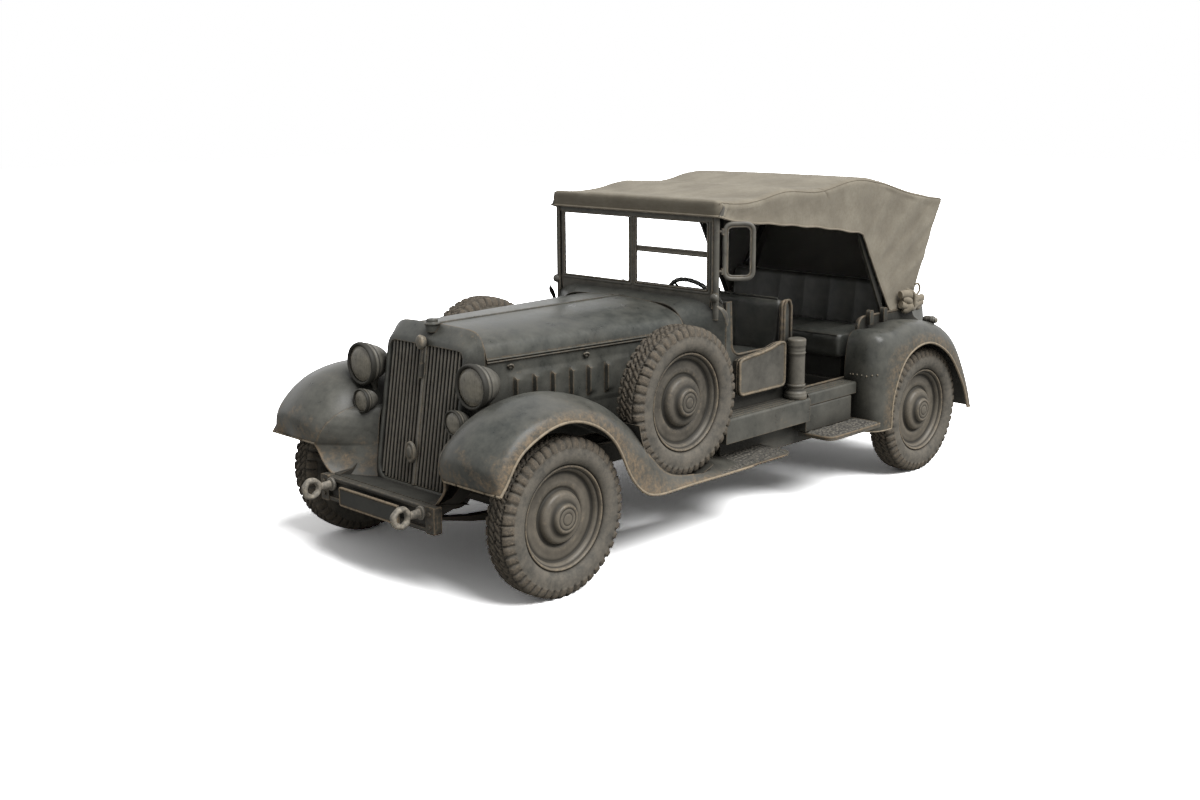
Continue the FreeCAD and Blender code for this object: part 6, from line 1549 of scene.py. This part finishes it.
# %% [markdown]
# ## Stowage
# Each pocket is a flat box, open above, with a wavy rolled rim. The extinguisher is turned.

# %% Pockets and extinguisher
pocket_corners = [(-1466, 912), (-1560, 926), (-1660, 932), (-1750, 948), (-1800, 964), (-1866, 966),
                  (-1866, 720), (-1466, 720)]
shape = rounded(pocket_corners, [26, 40, 40, 40, 30, 24, 34, 34], 8)
for name, side in SIDES:
    parts = [plate_part(shape, "y", 686, 694), plate_part(shape, "y", 645.5, 651)]
    skirt = rounded([(-1466, 912), (-1466, 720), (-1866, 720), (-1866, 955)], [0, 34, 34, 0], 10, False)
    strip = np.stack([upright(skirt, y) for y in (650, 668, 690)])
    parts.append(sheet_part(strip, 6.0, inward=-1.0))
    for y, radius in ((691.5, 8.5), (672.0, 6.0)):
        parts.append(tube_part(upright(shape, y), radius, 10, (0, 1, 0), True, mark=0.8))
    piece("pocket_" + name, parts, pocket_paint, stands_for=once("stowage_pockets", side), side=side,
          sharp=50, bevel=2.0)
bottle = [(0, 0), (0, 64), (8, 66), (20, 66), (26, 62), (30, 63), (38, 60), (46, 52), (56, 50), (254, 50),
          (258, 53), (264, 54), (268, 51), (300, 51), (304, 54), (336, 54), (342, 49), (345, 40), (346, 0)]
bottle = between(bottle, 110)
BOTTLE = (-1946, 712, 635.5)
around = np.linspace(0, 2 * np.pi, 49)[:-1]
clamp = np.stack([BOTTLE[0] + 52 * np.cos(around), BOTTLE[1] + 52 * np.sin(around), np.full(48, 712.0)],
                 axis=-1)
clamp = tube_part(clamp, 4.0, 8, (0, 0, 1), True, squash=2.2)
piece("extinguisher_bottle", [turned_part(bottle, BOTTLE, "z", 36, ridge_wear_and_groove_shade(bottle, 1.3)), clamp],
      bottle_paint, stands_for=("extinguisher",), sharp=50)

# %% [markdown]
# ## Small fittings
# Two plain knobs and a bracket on the nose, bonnet catches, a strap at the door pillar and the folded
# straps with their hook at the foot of the hood.

# %% Small fittings
knob = between([(-14, 0), (-14, 15), (-4, 18), (6, 20), (14, 17), (18, 9), (19, 0)], 40)
points, faces, marks = turned_part(knob, (0, 0, 0), "x", 32)
fittings = [(points * (1.2, 1.5, 1.85) + (152, -8, 1148), faces, marks + 0.5)]
bracket = []
for z0, z1, width in ((1040, 1118, 9.0), (972, 1046, 16.0)):
    line = between([(128 + (1158 - z1) * NOSE_LEAN + 12, 0, z1), (128 + (1158 - z0) * NOSE_LEAN + 12, 0, z0)],
                   10)
    bracket.append(tube_part(line, width, 12, (0, 1, 0), squash=0.6))
piece("nose_bracket", bracket, bumper_paint, sharp=50)
low_knob = between([(-10, 0), (-10, 30), (-2, 34), (5, 33), (8, 28), (6, 24), (7, 20), (12, 16), (14, 8),
                    (14, 0)], 50)
points, faces, marks = turned_part(low_knob, (0, 0, 0), "x", 40)
fittings.append((points * (1.2, 1.05, 1.65) + (243, -8, 608), faces, marks + 0.4))
piece("nose_fittings", fittings, bright_paint, sharp=50)
for name, side in SIDES:
    catches = []
    for x in (-90, -560, -1150):
        half = float(half_at(x))
        lever = spline([(x - 16, half + 4, 1032), (x - 8, half + 14, 1046), (x + 8, half + 14, 1052),
                        (x + 18, half + 5, 1046)], 18)
        catches.append(tube_part(lever, 5.0, 10))
        catches.append(turned_part(between([(-4, 0), (-4, 12), (6, 12), (10, 8), (11, 0)], 16),
                                   (x, half + 1, 1040), "y", 20))
    strap = spline([(-1330, 640, 1222), (-1344, 662, 1204), (-1372, 668, 1165), (-1388, 664, 1112)], 30)
    leaf = np.interp(np.linspace(0, 1, 30), [0, 0.15, 0.5, 0.85, 1], [6, 9, 17, 12, 3])
    piece("bonnet_catches_" + name, catches, bright_paint, "chassis", side=side, sharp=50)
    piece("door_strap_" + name, [tube_part(strap, leaf, 12, (0, 1, 0), squash=0.25)], pocket_paint, side=side,
          sharp=60)
    folds = []
    for k, (lift, run_in) in enumerate(((0, 0), (34, 24), (66, 8), (92, 40))):
        line = spline([(-3080 - run_in, 662, 1096 - lift), (-3150, 676 + 5 * (k % 2), 1088 - lift * 0.9),
                       (-3230, 680 - 5 * (k % 2), 1070 - lift * 0.6),
                       (-3320 + run_in, 668, 1050 - lift * 0.45)], 40)
        wave = np.sin(np.linspace(0, 7 + 3 * k, 40) + k)
        line[:, 2] += 7.0 * wave
        folds.append(tube_part(line, 25.0 + 4.0 * wave * np.sin(np.linspace(0, np.pi, 40)), 14, (0, 1, 0),
                               squash=0.85))
    folds.append(tube_part(rounded([(-3170, 650, 1122), (-3176, 708, 1104), (-3180, 706, 1014),
                                    (-3174, 650, 1000)], 22, 8,
                                   False), 9.0, 12, (1, 0, 0)))
    folds.append(tube_part(spline([(-3240, 662, 1070), (-3272, 672, 1092), (-3282, 674, 1126),
                                   (-3264, 668, 1150), (-3244, 664, 1146)], 24), 7.0, 10, (0, 1, 0)))
    piece("hood_folds_" + name, folds, canvas_hem, side=side, sharp=60)

# %% [markdown]
# Everything below the body keeps its CAD shape and gets the grimy chassis paint.

# %% Running gear
dress(["frame_rails", "axle_front", "axle_rear", "knuckle_left", "knuckle_right", "tie_rod", "leaf_springs",
       "propeller_shafts", "exhaust", "engine_block"], chassis_paint)
